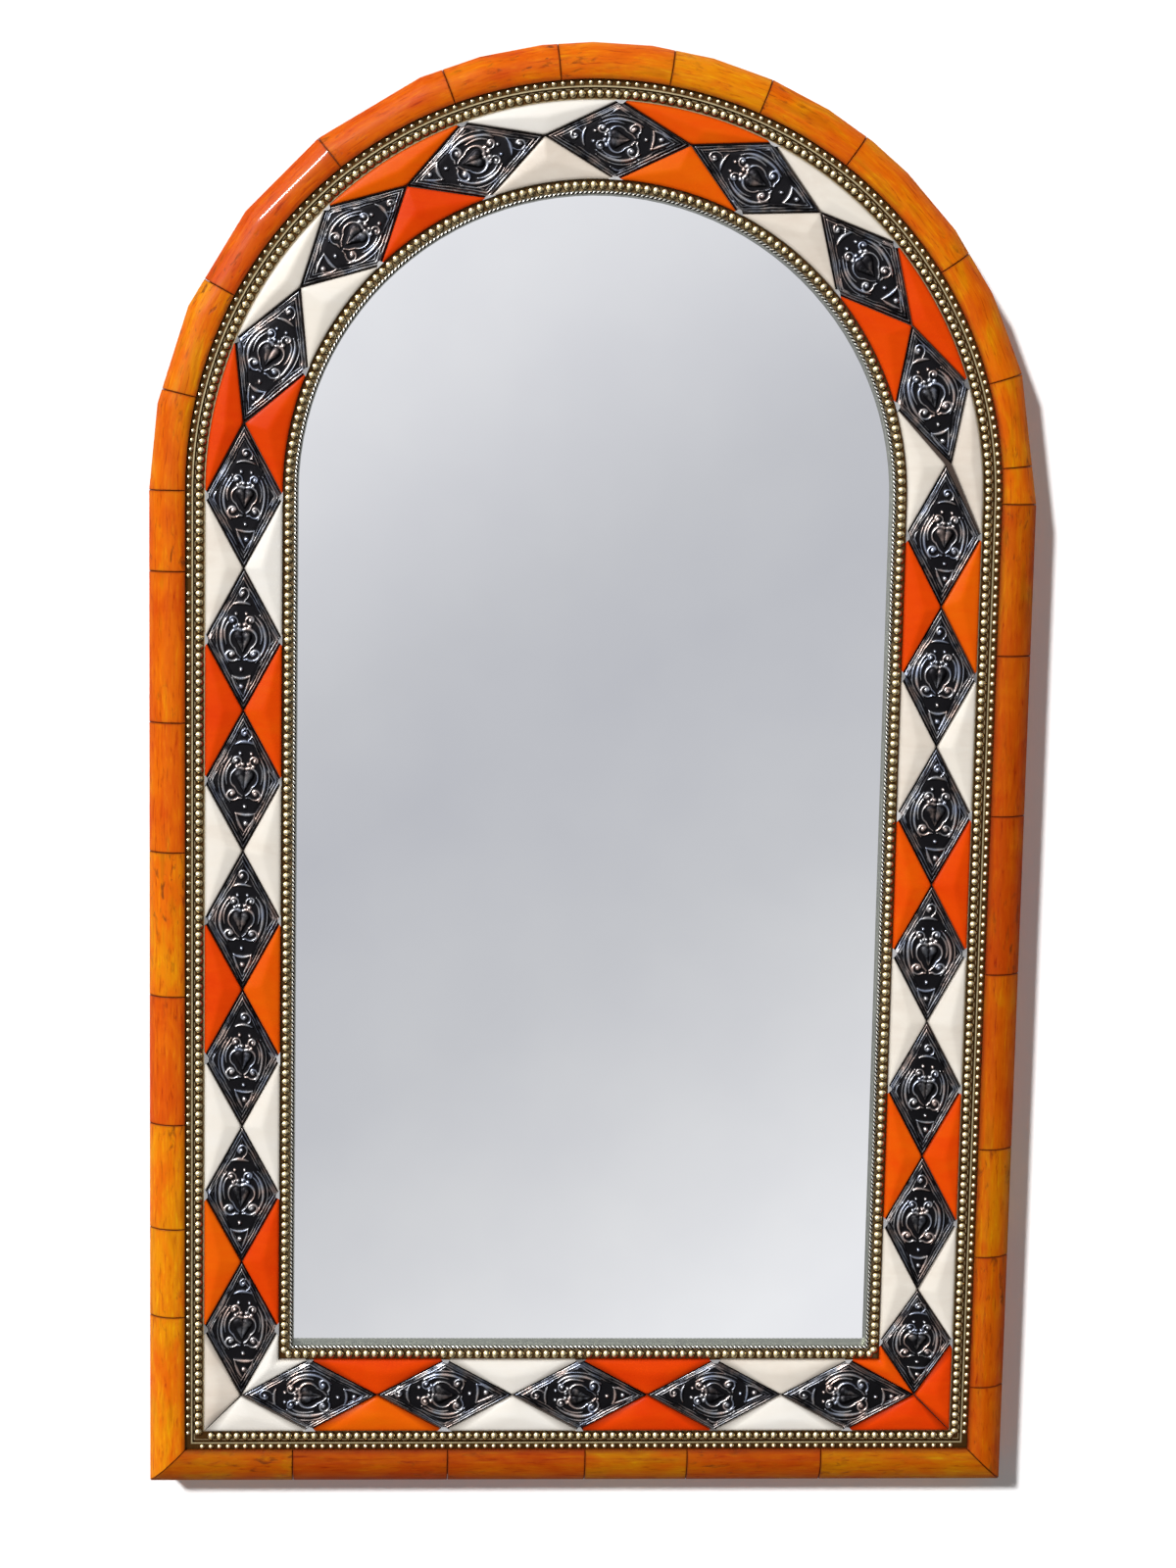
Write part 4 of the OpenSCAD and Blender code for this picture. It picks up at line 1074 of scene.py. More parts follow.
def medallion_place(inlay, i):
    """Middle across, middle up, heading in radians and half length of medallion i, counted from 0."""
    gap = inlay.gap / MM
    if i < PATH_COUNT:
        pitch = path_pitch(inlay)
        start = i * pitch
        stop = min(start + pitch, arch_way_length(BAND_MID))
        across, up, forward_x, forward_z = over_arch(np.array((start + stop) / 2), BAND_MID, BAND_MID)
        return float(across), float(up), math.atan2(forward_z, forward_x), (stop - start) / 2 - gap
    pitch = 2 * (HALF_W - BAND_MID) / FOOT_COUNT
    return HALF_W - BAND_MID - (i - PATH_COUNT + 0.5) * pitch, BAND_MID, math.pi, pitch / 2 - gap


def spiral(centre, start_r, end_r, start_a, end_a, count):
    """Points of a curl whose radius changes evenly with its angle in degrees: the middle plus the radius
    times the cosine and the sine."""
    a = np.radians(np.linspace(start_a, end_a, count))
    r = np.linspace(start_r, end_r, count)
    return np.stack([centre[0] + r * np.cos(a), centre[1] + r * np.sin(a)], 1)


def nearest_on(points, line):
    """For every point and every segment of a broken line: the share of the segment at which it comes nearest,
    which is the point's projection kept within the segment, and the distance there."""
    start, step = line[:-1], np.diff(line, axis=0)
    share = np.einsum("pks,ks->pk", points[:, None, :] - start, step) / np.maximum((step**2).sum(1), 1e-12)
    share = np.clip(share, 0, 1)
    nearest = start + share[..., None] * step
    return share, np.sqrt(((points[:, None, :] - nearest) ** 2).sum(-1))


def swept_out(line, bulge):
    """Half widths along a stroke: 0.3 mm at both tips, up to the bulge in the middle, as a sine."""
    tips = 0.3
    return tips + (bulge - tips) * np.sin(np.linspace(0, math.pi, len(line)))


def run_out(line, start, end):
    """Half widths along a stroke that change evenly from start to end."""
    return np.linspace(start, end, len(line))


def stroke_height(points, line, widths, top):
    """Height of a round-backed stroke: its top times one less the squared share of the half width, to the
    power of 0.6. The half width changes evenly along each segment."""
    share, away = nearest_on(points, line)
    width = widths[:-1] + share * np.diff(widths)
    return (top * np.clip(1 - (away / width) ** 2, 0, 1) ** 0.6).max(1)


def stamped_strokes():
    """The traditional stamped figure, drawn in millimetres: strokes as rows of line, half widths and height,
    and bosses as rows of place and radius."""
    curl = spiral((-1.2, 2.2), 6.9, 5.6, 28, 176, 18)
    collar = np.concatenate([[[11.0, 0.9], [8.6, 3.4]], curl, [[-6.2, 0.9]]])
    volute = np.concatenate([[[12.6, 1.4]], spiral((9.4, 7.2), 4.7, 1.7, -52, 250, 22)])
    oval = spiral((0, -10.4), 24.2, 24.2, 128, 52, 24)
    second = spiral((-3.0, -2.6), 13.6, 14.6, 128, 66, 18)
    rear = spiral((-12.0, 5.8), 3.6, 1.5, 330, 40, 18)
    end = spiral((8.6, 0.0), 11.4, 11.4, -27, 27, 12)
    tail = spiral((-24.6, 0.6), 3.9, 1.3, 20, 330, 20)
    heart = np.array([[-1.9, 2.3], [6.4, 0.0]])
    blade = np.array([[18.8, 5.0], [22.4, 4.2], [25.6, 2.9], [29.0, 1.0]])
    wing = np.array([[-4.6, 15.6], [-1.8, 17.2], [0.8, 17.6], [4.0, 15.9]])
    rows = []
    for side in (1, -1):
        turn = np.array([1, side])
        rows += [
            (heart * turn, np.array([2.9, 0.2]), 1.0),
            (collar * turn * GROUP_SHARE, run_out(collar, 0.45, 1.0), 0.85),
            (volute * turn * GROUP_SHARE, run_out(volute, 0.55, 0.95), 0.9),
            (oval * turn * GROUP_SHARE, swept_out(oval, 1.15), 0.8),
            (second * turn * GROUP_SHARE, swept_out(second, 0.75), 0.7),
            (rear * turn * GROUP_SHARE, run_out(rear, 0.5, 0.9), 0.8),
            (oval * turn * GROUP_SHARE + [0, side * 2.3], swept_out(oval, 0.5), 0.6),
            (blade * turn, swept_out(blade, 0.95), 0.8),
            (wing * turn, swept_out(wing, 0.8), 0.6),
        ]
    rows += [
        (end, swept_out(end, 1.0), 0.8),
        (-end, swept_out(end, 1.0), 0.75),
        (tail, run_out(tail, 0.4, 0.95), 0.8),
    ]
    pairs = [(9.4, 7.2, 1.5), (-12.0, 5.8, 1.25), (-9.3, 1.7, 1.2), (-7.9, 5.0, 1.25), (-16.6, 3.4, 1.0)]
    bosses = [(x * GROUP_SHARE, side * y * GROUP_SHARE, r) for x, y, r in pairs for side in (-1, 1)]
    return rows, bosses + [(24.4, 0, 1.5), (15.6, 0, 1.1), (-24.6, 0.6, 1.2)]


def way_in(sides, long, short):
    """Distance in from the edge of a rhombus with these half diagonals, for points as shares of them."""
    return (1 - np.abs(sides[:, 0]) - np.abs(sides[:, 1])) * long * short / math.hypot(long, short)


def stamped_height(sides, long, short, seed):
    """Height from 0 to 1 of the figure on points drawn as shares, and how brightly it is rubbed.

    The places are bent by slow waves, as by a hand-held punch. Then come the round-backed strokes, the bosses
    as half balls, and three ridges along the edges, each with an inset, a half width and a height.
    """
    rng = np.random.default_rng(seed)
    drawn = sides * DRAWN_HALF
    phase = rng.uniform(0, 2 * math.pi, 6)
    bent = drawn + 0.55 * np.stack([
        np.sin(drawn[:, 1] / 5.0 + phase[0]) + 0.5 * np.sin(drawn[:, 0] / 3.1 + phase[1]),
        np.sin(drawn[:, 0] / 6.0 + phase[2]) + 0.5 * np.sin(drawn[:, 1] / 3.4 + phase[3])], 1)
    bent = (bent - rng.uniform(-0.9, 0.9, 2)) / rng.uniform(0.95, 1.04)
    height = np.zeros(len(drawn))
    rubbed = np.zeros(len(drawn))
    rows, bosses = stamped_strokes()
    for line, widths, top in rows:
        pressed = top * rng.uniform(0.8, 1.1)
        reach = np.hypot(*(line - line.mean(0)).T).max() + 3.5
        near = np.flatnonzero(np.hypot(*(bent - line.mean(0)).T) < reach)
        raised = stroke_height(bent[near], line, widths * rng.uniform(0.85, 1.05), pressed)
        height[near] = np.maximum(height[near], raised)
        rubbed[near] = np.maximum(rubbed[near], raised * (HEART_SHINE if len(line) == 2 else 1.0))
    for x, y, radius in bosses:
        away = np.hypot(bent[:, 0] - x, bent[:, 1] - y) / radius
        raised = np.sqrt(np.clip(1 - away**2, 0, 1))
        height, rubbed = np.maximum(height, raised), np.maximum(rubbed, raised)
    edge = way_in(sides, long, short)
    along = np.arctan2(sides[:, 1], sides[:, 0])
    wander = 0.22 * np.sin(3 * along + phase[4]) + 0.12 * np.sin(11 * along + phase[5])
    for inset, width, top in ((0.75, 0.5, 0.6), (2.3, 0.5, 0.7), (3.7, 0.4, 0.5)):
        ridge = np.clip(1 - ((edge - inset - wander * inset / 2.5) / width) ** 2, 0, 1) ** 0.6
        fade = 0.66 + 0.34 * np.sin(5 * along + phase[4] + inset)
        height, rubbed = np.maximum(height, top * ridge), np.maximum(rubbed, top * fade * ridge)
    flats = 0.36 * np.clip((3.6 - edge) / 1.2, 0, 1) * np.clip(np.abs(sides[:, 1]) * 1.6, 0, 1)
    ends = np.clip(edge / 0.5, 0, 1) ** 0.5
    return height * ends, np.maximum(rubbed, flats) * ends


def plate_figures(long, short):
    """A grid of points as shares of the half length and half width, once for each stamping. The shares are
    half the sum and half the difference of steps along two sides, and the steps are 0.86 even and 0.14 as a
    sine, which draws them together at the rims."""
    even = np.linspace(-1, 1, PLATE_STEPS)
    line = 0.86 * even + 0.14 * np.sin(even * math.pi / 2)
    s, t = np.meshgrid(line, line, indexing="ij")
    sides = np.stack([(s + t) / 2, (s - t) / 2], -1).reshape(-1, 2)
    return [(sides, *stamped_height(sides, long, short, FIGURE_SEED + k)) for k in range(STAMPINGS)]


def wall_faces(rim, count):
    """Quads from a rim down to new points that are numbered from count, and the numbers of those points."""
    under = count + np.arange(len(rim))
    return np.stack([rim, np.roll(rim, -1), np.roll(under, -1), under], 1), under


def medallion_shell(inlay, i, figures, rng):
    """One stamped plate on a grid along its sides. It is domed by one less the square of what the way in from
    the edge lacks of the dome's reach, as a share, and raised by one of the figures."""
    across, up, heading, long = medallion_place(inlay, i)
    short = BAND_HALF - inlay.gap / MM
    sides, figure, rubbed = figures[i % len(figures)]
    points = sides * [long, short]
    edge = way_in(sides, long, short)
    if i < PATH_COUNT // 2 or i >= PATH_COUNT:
        points = -points
    dome = 1 - (1 - np.clip(edge / DOME_REACH, 0, 1)) ** 2
    lean = rng.uniform(-0.3, 0.3, 2)
    tilt = sides[:, 0] * lean[0] + sides[:, 1] * lean[1]
    long_wave = np.sin(points[:, 0] / rng.uniform(3, 5) + rng.uniform(0, 6))
    waves = 0.1 * long_wave * np.sin(points[:, 1] / 3 + rng.uniform(0, 6))
    plate, relief = GROUND_TOP + inlay.plate_t / MM, inlay.relief / MM
    height = plate - DOME_DROP + DOME_RISE * dome + tilt + waves
    height = np.minimum(height + relief * 1.05 * figure, plate + relief - 0.02) - 0.6 * np.exp(-edge / 0.3)
    numbers = np.arange(len(points)).reshape(PLATE_STEPS, PLATE_STEPS)
    rim = np.concatenate([numbers[0], numbers[1:, -1], numbers[-1, -2::-1], numbers[-2:0:-1, 0]])
    around, under = wall_faces(rim, len(points))
    faces = grid_faces(PLATE_STEPS, PLATE_STEPS).tolist() + around[:, ::-1].tolist() + [under.tolist()]
    flat = np.concatenate([points, points[rim]])
    height = np.concatenate([height, np.full(len(rim), GROUND_TOP)])
    x = across + flat[:, 0] * math.cos(heading) - flat[:, 1] * math.sin(heading)
    z = up + flat[:, 0] * math.sin(heading) + flat[:, 1] * math.cos(heading)
    rubbed = np.concatenate([rubbed, np.zeros(len(rim))])
    return outward(Shell(np.stack([x, height, z], 1), faces, flat * MM, relief=rubbed))


def bone_shell(inlay, apex, base, rng):
    """One bone piece as a point carried to its base line, in rows that lie at shares of the way.

    It is pillowed by the smooth least of its distances from its three sides: each is taken over the softness,
    and the logarithm of the sum of their falling exponentials is taken times minus the softness. Close to its
    sides it is darkened, by a falling exponential too.
    """
    rows, per_side, softness = 15, 8, 0.55
    corners = np.asarray(base, float)
    t = np.linspace(0, 1, (len(corners) - 1) * per_side + 1) * (len(corners) - 1)
    along = np.stack([np.interp(t, np.arange(len(corners)), corners[:, k]) for k in (0, 1)], 1)
    shares = np.concatenate([np.linspace(0, 1, rows)[1:-1], [0.985, 1.0]])[:, None, None]
    grid = apex + (along[None] - apex) * shares
    cols = len(along)
    points = np.concatenate([[apex], grid.reshape(-1, 2)])
    sides = [np.array([apex, along[0]]), np.array([apex, along[-1]]), along]
    weights = rng.uniform(0.8, 1.35, 3)
    distance = np.stack([nearest_on(points, side)[1].min(1) * w for side, w in zip(sides, weights)])
    least = np.clip(-np.log(np.exp(-distance / softness).sum(0)) * softness, 0, None)
    height = inlay.bone_t / MM + inlay.rise / MM * (least / max(least.max(), 1e-6)) ** 0.85
    height = height - 0.35 * np.exp(-distance.min(0) / 0.3)
    numbers = 1 + np.arange(len(points) - 1).reshape(-1, cols)
    low_rim = np.concatenate([[0], numbers[:, 0], numbers[-1, 1:], numbers[-2::-1, -1]])
    around, under = wall_faces(low_rim, len(points))
    faces = (grid_faces(len(shares), cols) + 1).tolist() + [[0, k + 2, k + 1] for k in range(cols - 1)]
    faces += around.tolist() + [under[::-1].tolist()]
    flat = np.concatenate([points, points[low_rim]])
    height = np.concatenate([GROUND_TOP + height, np.full(len(low_rim), GROUND_TOP)])
    rim = np.concatenate([np.exp(-distance.min(0) / 0.45), np.ones(len(low_rim))])
    places = np.stack([flat[:, 0], height, flat[:, 1]], 1)
    return consistent(Shell(places, faces, flat * MM, tone=rng.uniform(0, 1), rim=rim))


def band_base(inlay, i, side):
    """Base line of the bone between medallions i and i + 1 on one edge of the band."""
    end_gap = inlay.gap / MM * END_GAPS
    out = side * (BAND_HALF - inlay.gap / MM)
    if i < PATH_COUNT:
        total, pitch = arch_way_length(BAND_MID), path_pitch(inlay)
        first = (i + 0.5) * pitch + end_gap
        last = (min((i + 2) * pitch, total) + (i + 1) * pitch) / 2 - end_gap
        across, up, _, _ = over_arch(np.linspace(first, last, 13), BAND_MID, BAND_MID - out)
        return np.stack([across, up], 1)
    pitch = 2 * (HALF_W - BAND_MID) / FOOT_COUNT
    first = HALF_W - BAND_MID - (i - PATH_COUNT + 0.5) * pitch - end_gap
    return np.array([[first, BAND_MID - out], [first - pitch + 2 * end_gap, BAND_MID - out]])


def band_bone(inlay, i, side):
    """Point and base of one bone between two medallions; its point stands clear of both tips."""
    here, there = medallion_place(inlay, i), medallion_place(inlay, i + 1)
    tip = np.array(here[:2]) + here[3] * np.array([math.cos(here[2]), math.sin(here[2])])
    next_tip = np.array(there[:2]) - there[3] * np.array([math.cos(there[2]), math.sin(there[2])])
    turn = (here[2] + there[2]) / 2 if abs(here[2] - there[2]) < 3 else math.pi
    outwards = np.array([-math.sin(turn), math.cos(turn)])
    spread = abs(float(np.dot(next_tip - tip, outwards))) / 2
    point = (tip + next_tip) / 2 + side * (spread + inlay.gap / MM * TIP_GAPS) * outwards
    return point, band_base(inlay, i, side)


def corner_bones(inlay, side):
    """The three pieces of a foot corner: two that share the mitre and a notched one inside."""
    gap = inlay.gap / MM
    low, high, mitre, point = TRIM_IN + gap, BAND_IN - gap, 0.3, gap * 2
    nearest_upright, nearest_lying = (PATH_COUNT - 1, PATH_COUNT) if side > 0 else (0, len(MEDALLIONS) - 1)
    upright = medallion_place(inlay, nearest_upright)[1] - gap * END_GAPS
    lying = HALF_W - abs(medallion_place(inlay, nearest_lying)[0]) - gap * END_GAPS

    def at(inset, up):
        return np.array([side * (HALF_W - inset), up])

    return [
        (at(BAND_MID - point, BAND_MID), [at(low, low + mitre), at(low, upright)]),
        (at(BAND_MID, BAND_MID - point), [at(lying, low), at(low + mitre, low)]),
        (at(BAND_MID + point, BAND_MID + point), [at(high, upright), at(high, high), at(lying, high)]),
    ]


def prism(outline, first, second, **values):
    """A closed body between an outline at one height and the same outline at another."""
    n = len(outline)
    rims = [np.column_stack([outline[:, 0], np.full(n, height), outline[:, 1]]) for height in (first, second)]
    points = np.concatenate(rims)
    faces = [list(range(n)), list(range(n, 2 * n))[::-1]]
    faces += [[k, k + n, (k + 1) % n + n, (k + 1) % n] for k in range(n)]
    return consistent(Shell(points, faces, points[:, [0, 2]] * MM, **values))


def scrap_shells(inlay, rng):
    """Small cut bits of plate at the blunt tips, in the notch between two bone pieces and the bead strips."""
    shells = []
    for i in range(len(MEDALLIONS)):
        across, up, heading, _ = medallion_place(inlay, i)
        forward = np.array([math.cos(heading), math.sin(heading)])
        outwards = np.array([-forward[1], forward[0]])
        for side in (-1, 1):
            centre = np.array([across, up]) + side * (BAND_HALF - inlay.gap / MM * 0.4) * outwards
            wide, deep, lean = rng.uniform(2.2, 4.2), rng.uniform(1.4, 2.6), rng.uniform(-0.8, 0.8)
            blunt = wide * 0.25
            corners = np.array([[-wide, 0], [wide, 0], [lean + blunt, -deep], [lean - blunt, -deep]])
            flat = centre + corners[:, :1] * forward + side * corners[:, 1:] * outwards
            top = GROUND_TOP + inlay.bone_t / MM + rng.uniform(-0.3, 0.5, 4)
            shells.append(prism(flat, top, GROUND_TOP, relief=rng.uniform(0.4, 0.9)))
    return shells


class MIRROR_OT_inlay(bpy.types.Operator):
    """Stamped medallions, bone pieces and metal scraps"""

    bl_idname = "mirror.inlay"
    bl_label = "Inlaid band"

    def execute(self, context):
        inlay = context.scene.mirror_inlay
        rng = np.random.default_rng(INLAY_SEED)
        # The nickel silver takes the painted reflection in full
        nickel = embossed_metal("nickel_silver", inlay.bright, inlay.dark, 0.16, 1.05, 0.85, 1.0)
        figures = plate_figures(medallion_place(inlay, 0)[3], BAND_HALF - inlay.gap / MM)
        for i, node in enumerate(MEDALLIONS):
            place = medallion_place(inlay, i)
            low, high = box_mm(node)
            middle = (low + high) / 2
            if math.hypot(middle[0] - place[0], middle[2] - FOOT_Z - place[1]) > 0.3:
                raise RuntimeError(f"{node} has moved in the frame")
            plate = medallion_shell(inlay, i, figures, rng)
            stand_in(node, [plate], nickel, 75, "stamped")
        bones = ([], [])
        for k in range(1, len(MEDALLIONS)):
            if k != PATH_COUNT:
                pieces = [band_bone(inlay, k - 1, side) for side in (-1, 1)]
                bones[k % 2].extend(bone_shell(inlay, *piece, rng) for piece in pieces)
        for side, corner in ((1, bones[1]), (-1, bones[0])):
            corner.extend(bone_shell(inlay, *piece, rng) for piece in corner_bones(inlay, side))
        ivory = inlay_bone("bone_ivory", inlay.ivory, (0.64, 0.55, 0.46), (0.82, 0.79, 0.74), 0.35)
        orange = inlay_bone("bone_orange", inlay.orange, (0.66, 0.036, 0.0008), (0.75, 0.125, 0.001), 0.06)
        stand_in("ivory_inlay", bones[0], ivory, 55)
        stand_in("orange_inlay", bones[1], orange, 55)
        scraps = embossed_metal("scrap_metal", (0.66, 0.65, 0.64), inlay.dark, 0.0, 0.7, 0.8)
        build("tip_scraps", joined(scrap_shells(inlay, rng)), scraps)
        return {"FINISHED"}


# Boards, glass and hanging

def turned(centre, profile, steps=32):
    """A lathe-turned body: rows of radius and height above the wall, spun about a line square to the wall.
    Its place across is the middle's plus the radius times the cosine of the turn, and up it has the sine."""
    radius, height = np.array(profile, float).T[..., None]
    across = centre[0] + radius * np.cos(full_turn(steps))
    up = centre[1] + radius * np.sin(full_turn(steps))
    return tube_shell(across, np.broadcast_to(height, across.shape), up, across * MM, up * MM, relief=1.0)


def solid_places(node):
    """Middles across and up of a node's separate bodies, found by sorting its points into clusters."""
    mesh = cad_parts[node].data
    flat = np.empty(len(mesh.vertices) * 3)
    mesh.vertices.foreach_get("co", flat)
    points = flat.reshape(-1, 3)[:, [0, 2]] / MM - [0, FOOT_Z]
    places = []
    while len(points):
        near = np.hypot(*(points - points[0]).T) < 20
        for _ in range(2):
            middle = (points[near].min(0) + points[near].max(0)) / 2
            near = np.hypot(*(points - middle).T) < 10
        places.append(middle)
        points = points[~near]
    return places


def domed_head(radius, base_h, head_t):
    """Profile rows of a domed head that stands towards the wall from its seat: the radius times the cosine of
    a turn, and the seat less the head's height times a sum: 0.35, and 0.65 of the sine of the turn."""
    turn = np.radians(np.linspace(0, 80, 6))
    return [(radius * math.cos(t), base_h - head_t * (0.35 + 0.65 * math.sin(t))) for t in turn]


class MIRROR_OT_back(bpy.types.Operator):
    """Rails, boards, glass, pads, pins, screws and the hangers"""

    bl_idname = "mirror.back"
    bl_label = "Boards, glass and hangers"

    def execute(self, context):
        back = context.scene.mirror_back
        upright = wooden("cedar_upright", back.wood, 0.55, 70.0, (0, 0, 0.2))
        level = wooden("cedar_level", back.wood, 0.55, 70.0, (0, math.pi / 2, 0.2))
        board = wooden("plywood", back.ply, 0.7, 26.0, (0, 0, 0.5))
        dress(upright, "side_rail_left", "side_rail_right", "arch_rail_left", "arch_rail_right")
        dress(upright, "rail_dowels")
        dress(level, "bottom_rail")
        dress(board, "back_board")
        dress(dull_material("dark_filler", (0.035, 0.018, 0.010), 0.55, 500.0, 0.0002), "ground_board")
        dress(dull_material("backing_card", (0.42, 0.30, 0.17), 0.8, 200.0, 0.0001), "glass_backing")
        dress(silvered_glass(), "mirror_glass")
        steel = plain_metal("hanger_steel", (0.55, 0.55, 0.57), 0.38)
        wire = plain_metal("ring_steel", (0.62, 0.62, 0.63), 0.28)
        dress(steel, "hanger_strap_left", "hanger_strap_right", "corner_screws")
        dress(wire, "hanger_ring_left", "hanger_ring_right")
        self.pads(back)
        self.pins(back, steel)
        self.screws(back, steel)
        return {"FINISHED"}

    def pads(self, back):
        """Rubber pads with a rounded rim."""
        r, edge = back.pad_r / MM, 0.9
        bend = np.radians(np.linspace(0, 90, 5))
        rim = [(r - edge + edge * math.cos(t), edge - edge * math.sin(t)) for t in bend]
        profile = [(r, PAD_T)] + rim + [(r * 0.3, 0.0)]
        rubber = dull_material("pad_rubber", (0.022, 0.022, 0.024), 0.6, 400.0, 0.0002)
        stand_in("wall_pads", [turned(p, profile) for p in solid_places("wall_pads")], rubber)

    def pins(self, back, steel):
        """Pins with low domed heads."""
        r, t = back.pin_head_r / MM, back.pin_head_t / MM
        profile = [(0.8, PAD_T + 11.5), (0.8, PAD_T), (r, PAD_T)] + domed_head(r, PAD_T, t)
        shells = [turned(p, profile, steps=20) for p in solid_places("back_board_pins")]
        stand_in("back_board_pins", shells, steel)

    def screws(self, back, steel):
        """Strap screws with domed heads, each with a dark flat cross as painted shade of its cut slot."""
        r, t, shank = back.head_r / MM, back.head_t / MM, back.shank_r / MM
        seat = PAD_T - back.strap_t / MM
        tip = seat + back.shank_l / MM
        profile = [(shank * 0.3, tip), (shank, tip - 2), (shank, seat), (r, seat)] + domed_head(r, seat, t)
        places = solid_places("hanger_screws")
        stand_in("hanger_screws", [turned(p, profile, steps=24) for p in places], steel)
        # Painted shade: a near-black flat cross stands in for the shade inside each head's cut slot
        dark = dull_material("screw_slot_shade", (0.02, 0.02, 0.02), 0.7, 400.0, 0.0001)
        slot_shades = [self.cross(p, r * 0.52, r * 0.11, seat - t - 0.01) for p in places]
        build("screw_cross_shade", joined(slot_shades), dark)

    def cross(self, centre, long, half, top):
        """A flat twelve-sided cross a hair proud of a head, painted dark for the shade in the slot: three
        corners, turned by a quarter each time.
        """
        corner = np.array([[half, half], [half, long], [-half, long]])
        quarter = np.array([[0, 1], [-1, 0]])
        outline = []
        for _ in range(4):
            outline += corner.tolist()
            corner = corner @ quarter
        return prism(np.array(outline) + centre, top, top + 0.3)


# Stage

STUDIO_BANDS = [
    (0.0, (0.10, 0.09, 0.085)), (0.20, (0.22, 0.21, 0.205)), (0.28, (0.95, 0.95, 0.96)),
    (0.312, (0.925, 0.925, 0.94)), (0.334, (0.82, 0.82, 0.835)), (0.358, (0.72, 0.722, 0.74)),
    (0.385, (0.625, 0.63, 0.655)), (0.43, (0.572, 0.578, 0.612)), (0.455, (0.605, 0.61, 0.64)),
    (0.50, (0.795, 0.795, 0.82)), (0.54, (0.93, 0.93, 0.95)), (0.64, (1.0, 1.0, 1.0)),
    (0.73, (0.42, 0.47, 0.60)), (0.84, (1.0, 1.0, 1.0)), (0.92, (1.0, 1.0, 1.0)), (1.0, (0.30, 0.36, 0.48)),
]
STUDIO_SIDES = [
    (0.0, (0.45, 0.45, 0.46)), (0.12, (1.0, 1.0, 1.0)), (0.24, (0.95, 0.95, 0.95)), (0.33, (0.4, 0.4, 0.41)),
    (0.44, (1.0, 1.0, 1.0)), (0.62, (1.0, 1.0, 1.0)), (0.72, (0.22, 0.22, 0.23)), (0.86, (0.5, 0.5, 0.55)),
    (1.0, (0.16, 0.16, 0.18)),
]
STUDIO_LAMP = [(0.86, (0.0, 0.0, 0.0)), (0.93, (1.0, 0.97, 0.93))]
WHITE = (1.0, 1.0, 1.0)


def mixed_shaders(tree, factor, first, second):
    """Two shaders mixed by a factor."""
    inputs = {0: factor, 1: first.outputs[0], 2: second.outputs[0]}
    return node_in(tree, "ShaderNodeMixShader", inputs)


def one_sided(name, shade, lift, throws_light):
    """A pale wall or floor: matt, and a touch whiter to the camera. It isn't there from behind, for glossy
    rays, or for short rays that aren't the camera's, so that the back of the frame is lit when it is looked
    at. Where it throws no light, it isn't there for diffuse rays either."""
    material, tree, shader, _ = new_material(name, roughness=0.9)
    feed(tree, shader, {"Base Color": shade, "Specular IOR Level": 0.1})
    path = node_in(tree, "ShaderNodeLightPath").outputs
    facing = node_in(tree, "ShaderNodeNewGeometry").outputs
    strength = maths_in(tree, "MULTIPLY", path["Is Camera Ray"], lift)
    glow = node_in(tree, "ShaderNodeEmission", {"Strength": strength})
    lit = node_in(tree, "ShaderNodeAddShader", {0: shader.outputs[0], 1: glow.outputs[0]})
    near = maths_in(tree, "LESS_THAN", path["Ray Length"], LIT_WITHIN)
    near = maths_in(tree, "SUBTRACT", near, path["Is Camera Ray"], clamp=True)
    unseen = maths_in(tree, "MAXIMUM", facing["Backfacing"], path["Is Glossy Ray"])
    unseen = maths_in(tree, "MAXIMUM", unseen, near)
    if not throws_light:
        unseen = maths_in(tree, "MAXIMUM", unseen, path["Is Diffuse Ray"])
    shown = mixed_shaders(tree, unseen, lit, node_in(tree, "ShaderNodeBsdfTransparent"))
    feed(tree, tree.nodes["Material Output"], {"Surface": shown.outputs[0]})
    return material


def flat_sheet(name, corners, material):
    """A four-cornered sheet of the stage, in metres."""
    mesh = bpy.data.meshes.new(name)
    mesh.from_pydata(corners, [], [(0, 1, 2, 3)])
    sheet = bpy.data.objects.new(name, mesh)
    bpy.context.scene.collection.objects.link(sheet)
    sheet.data.materials.append(material)


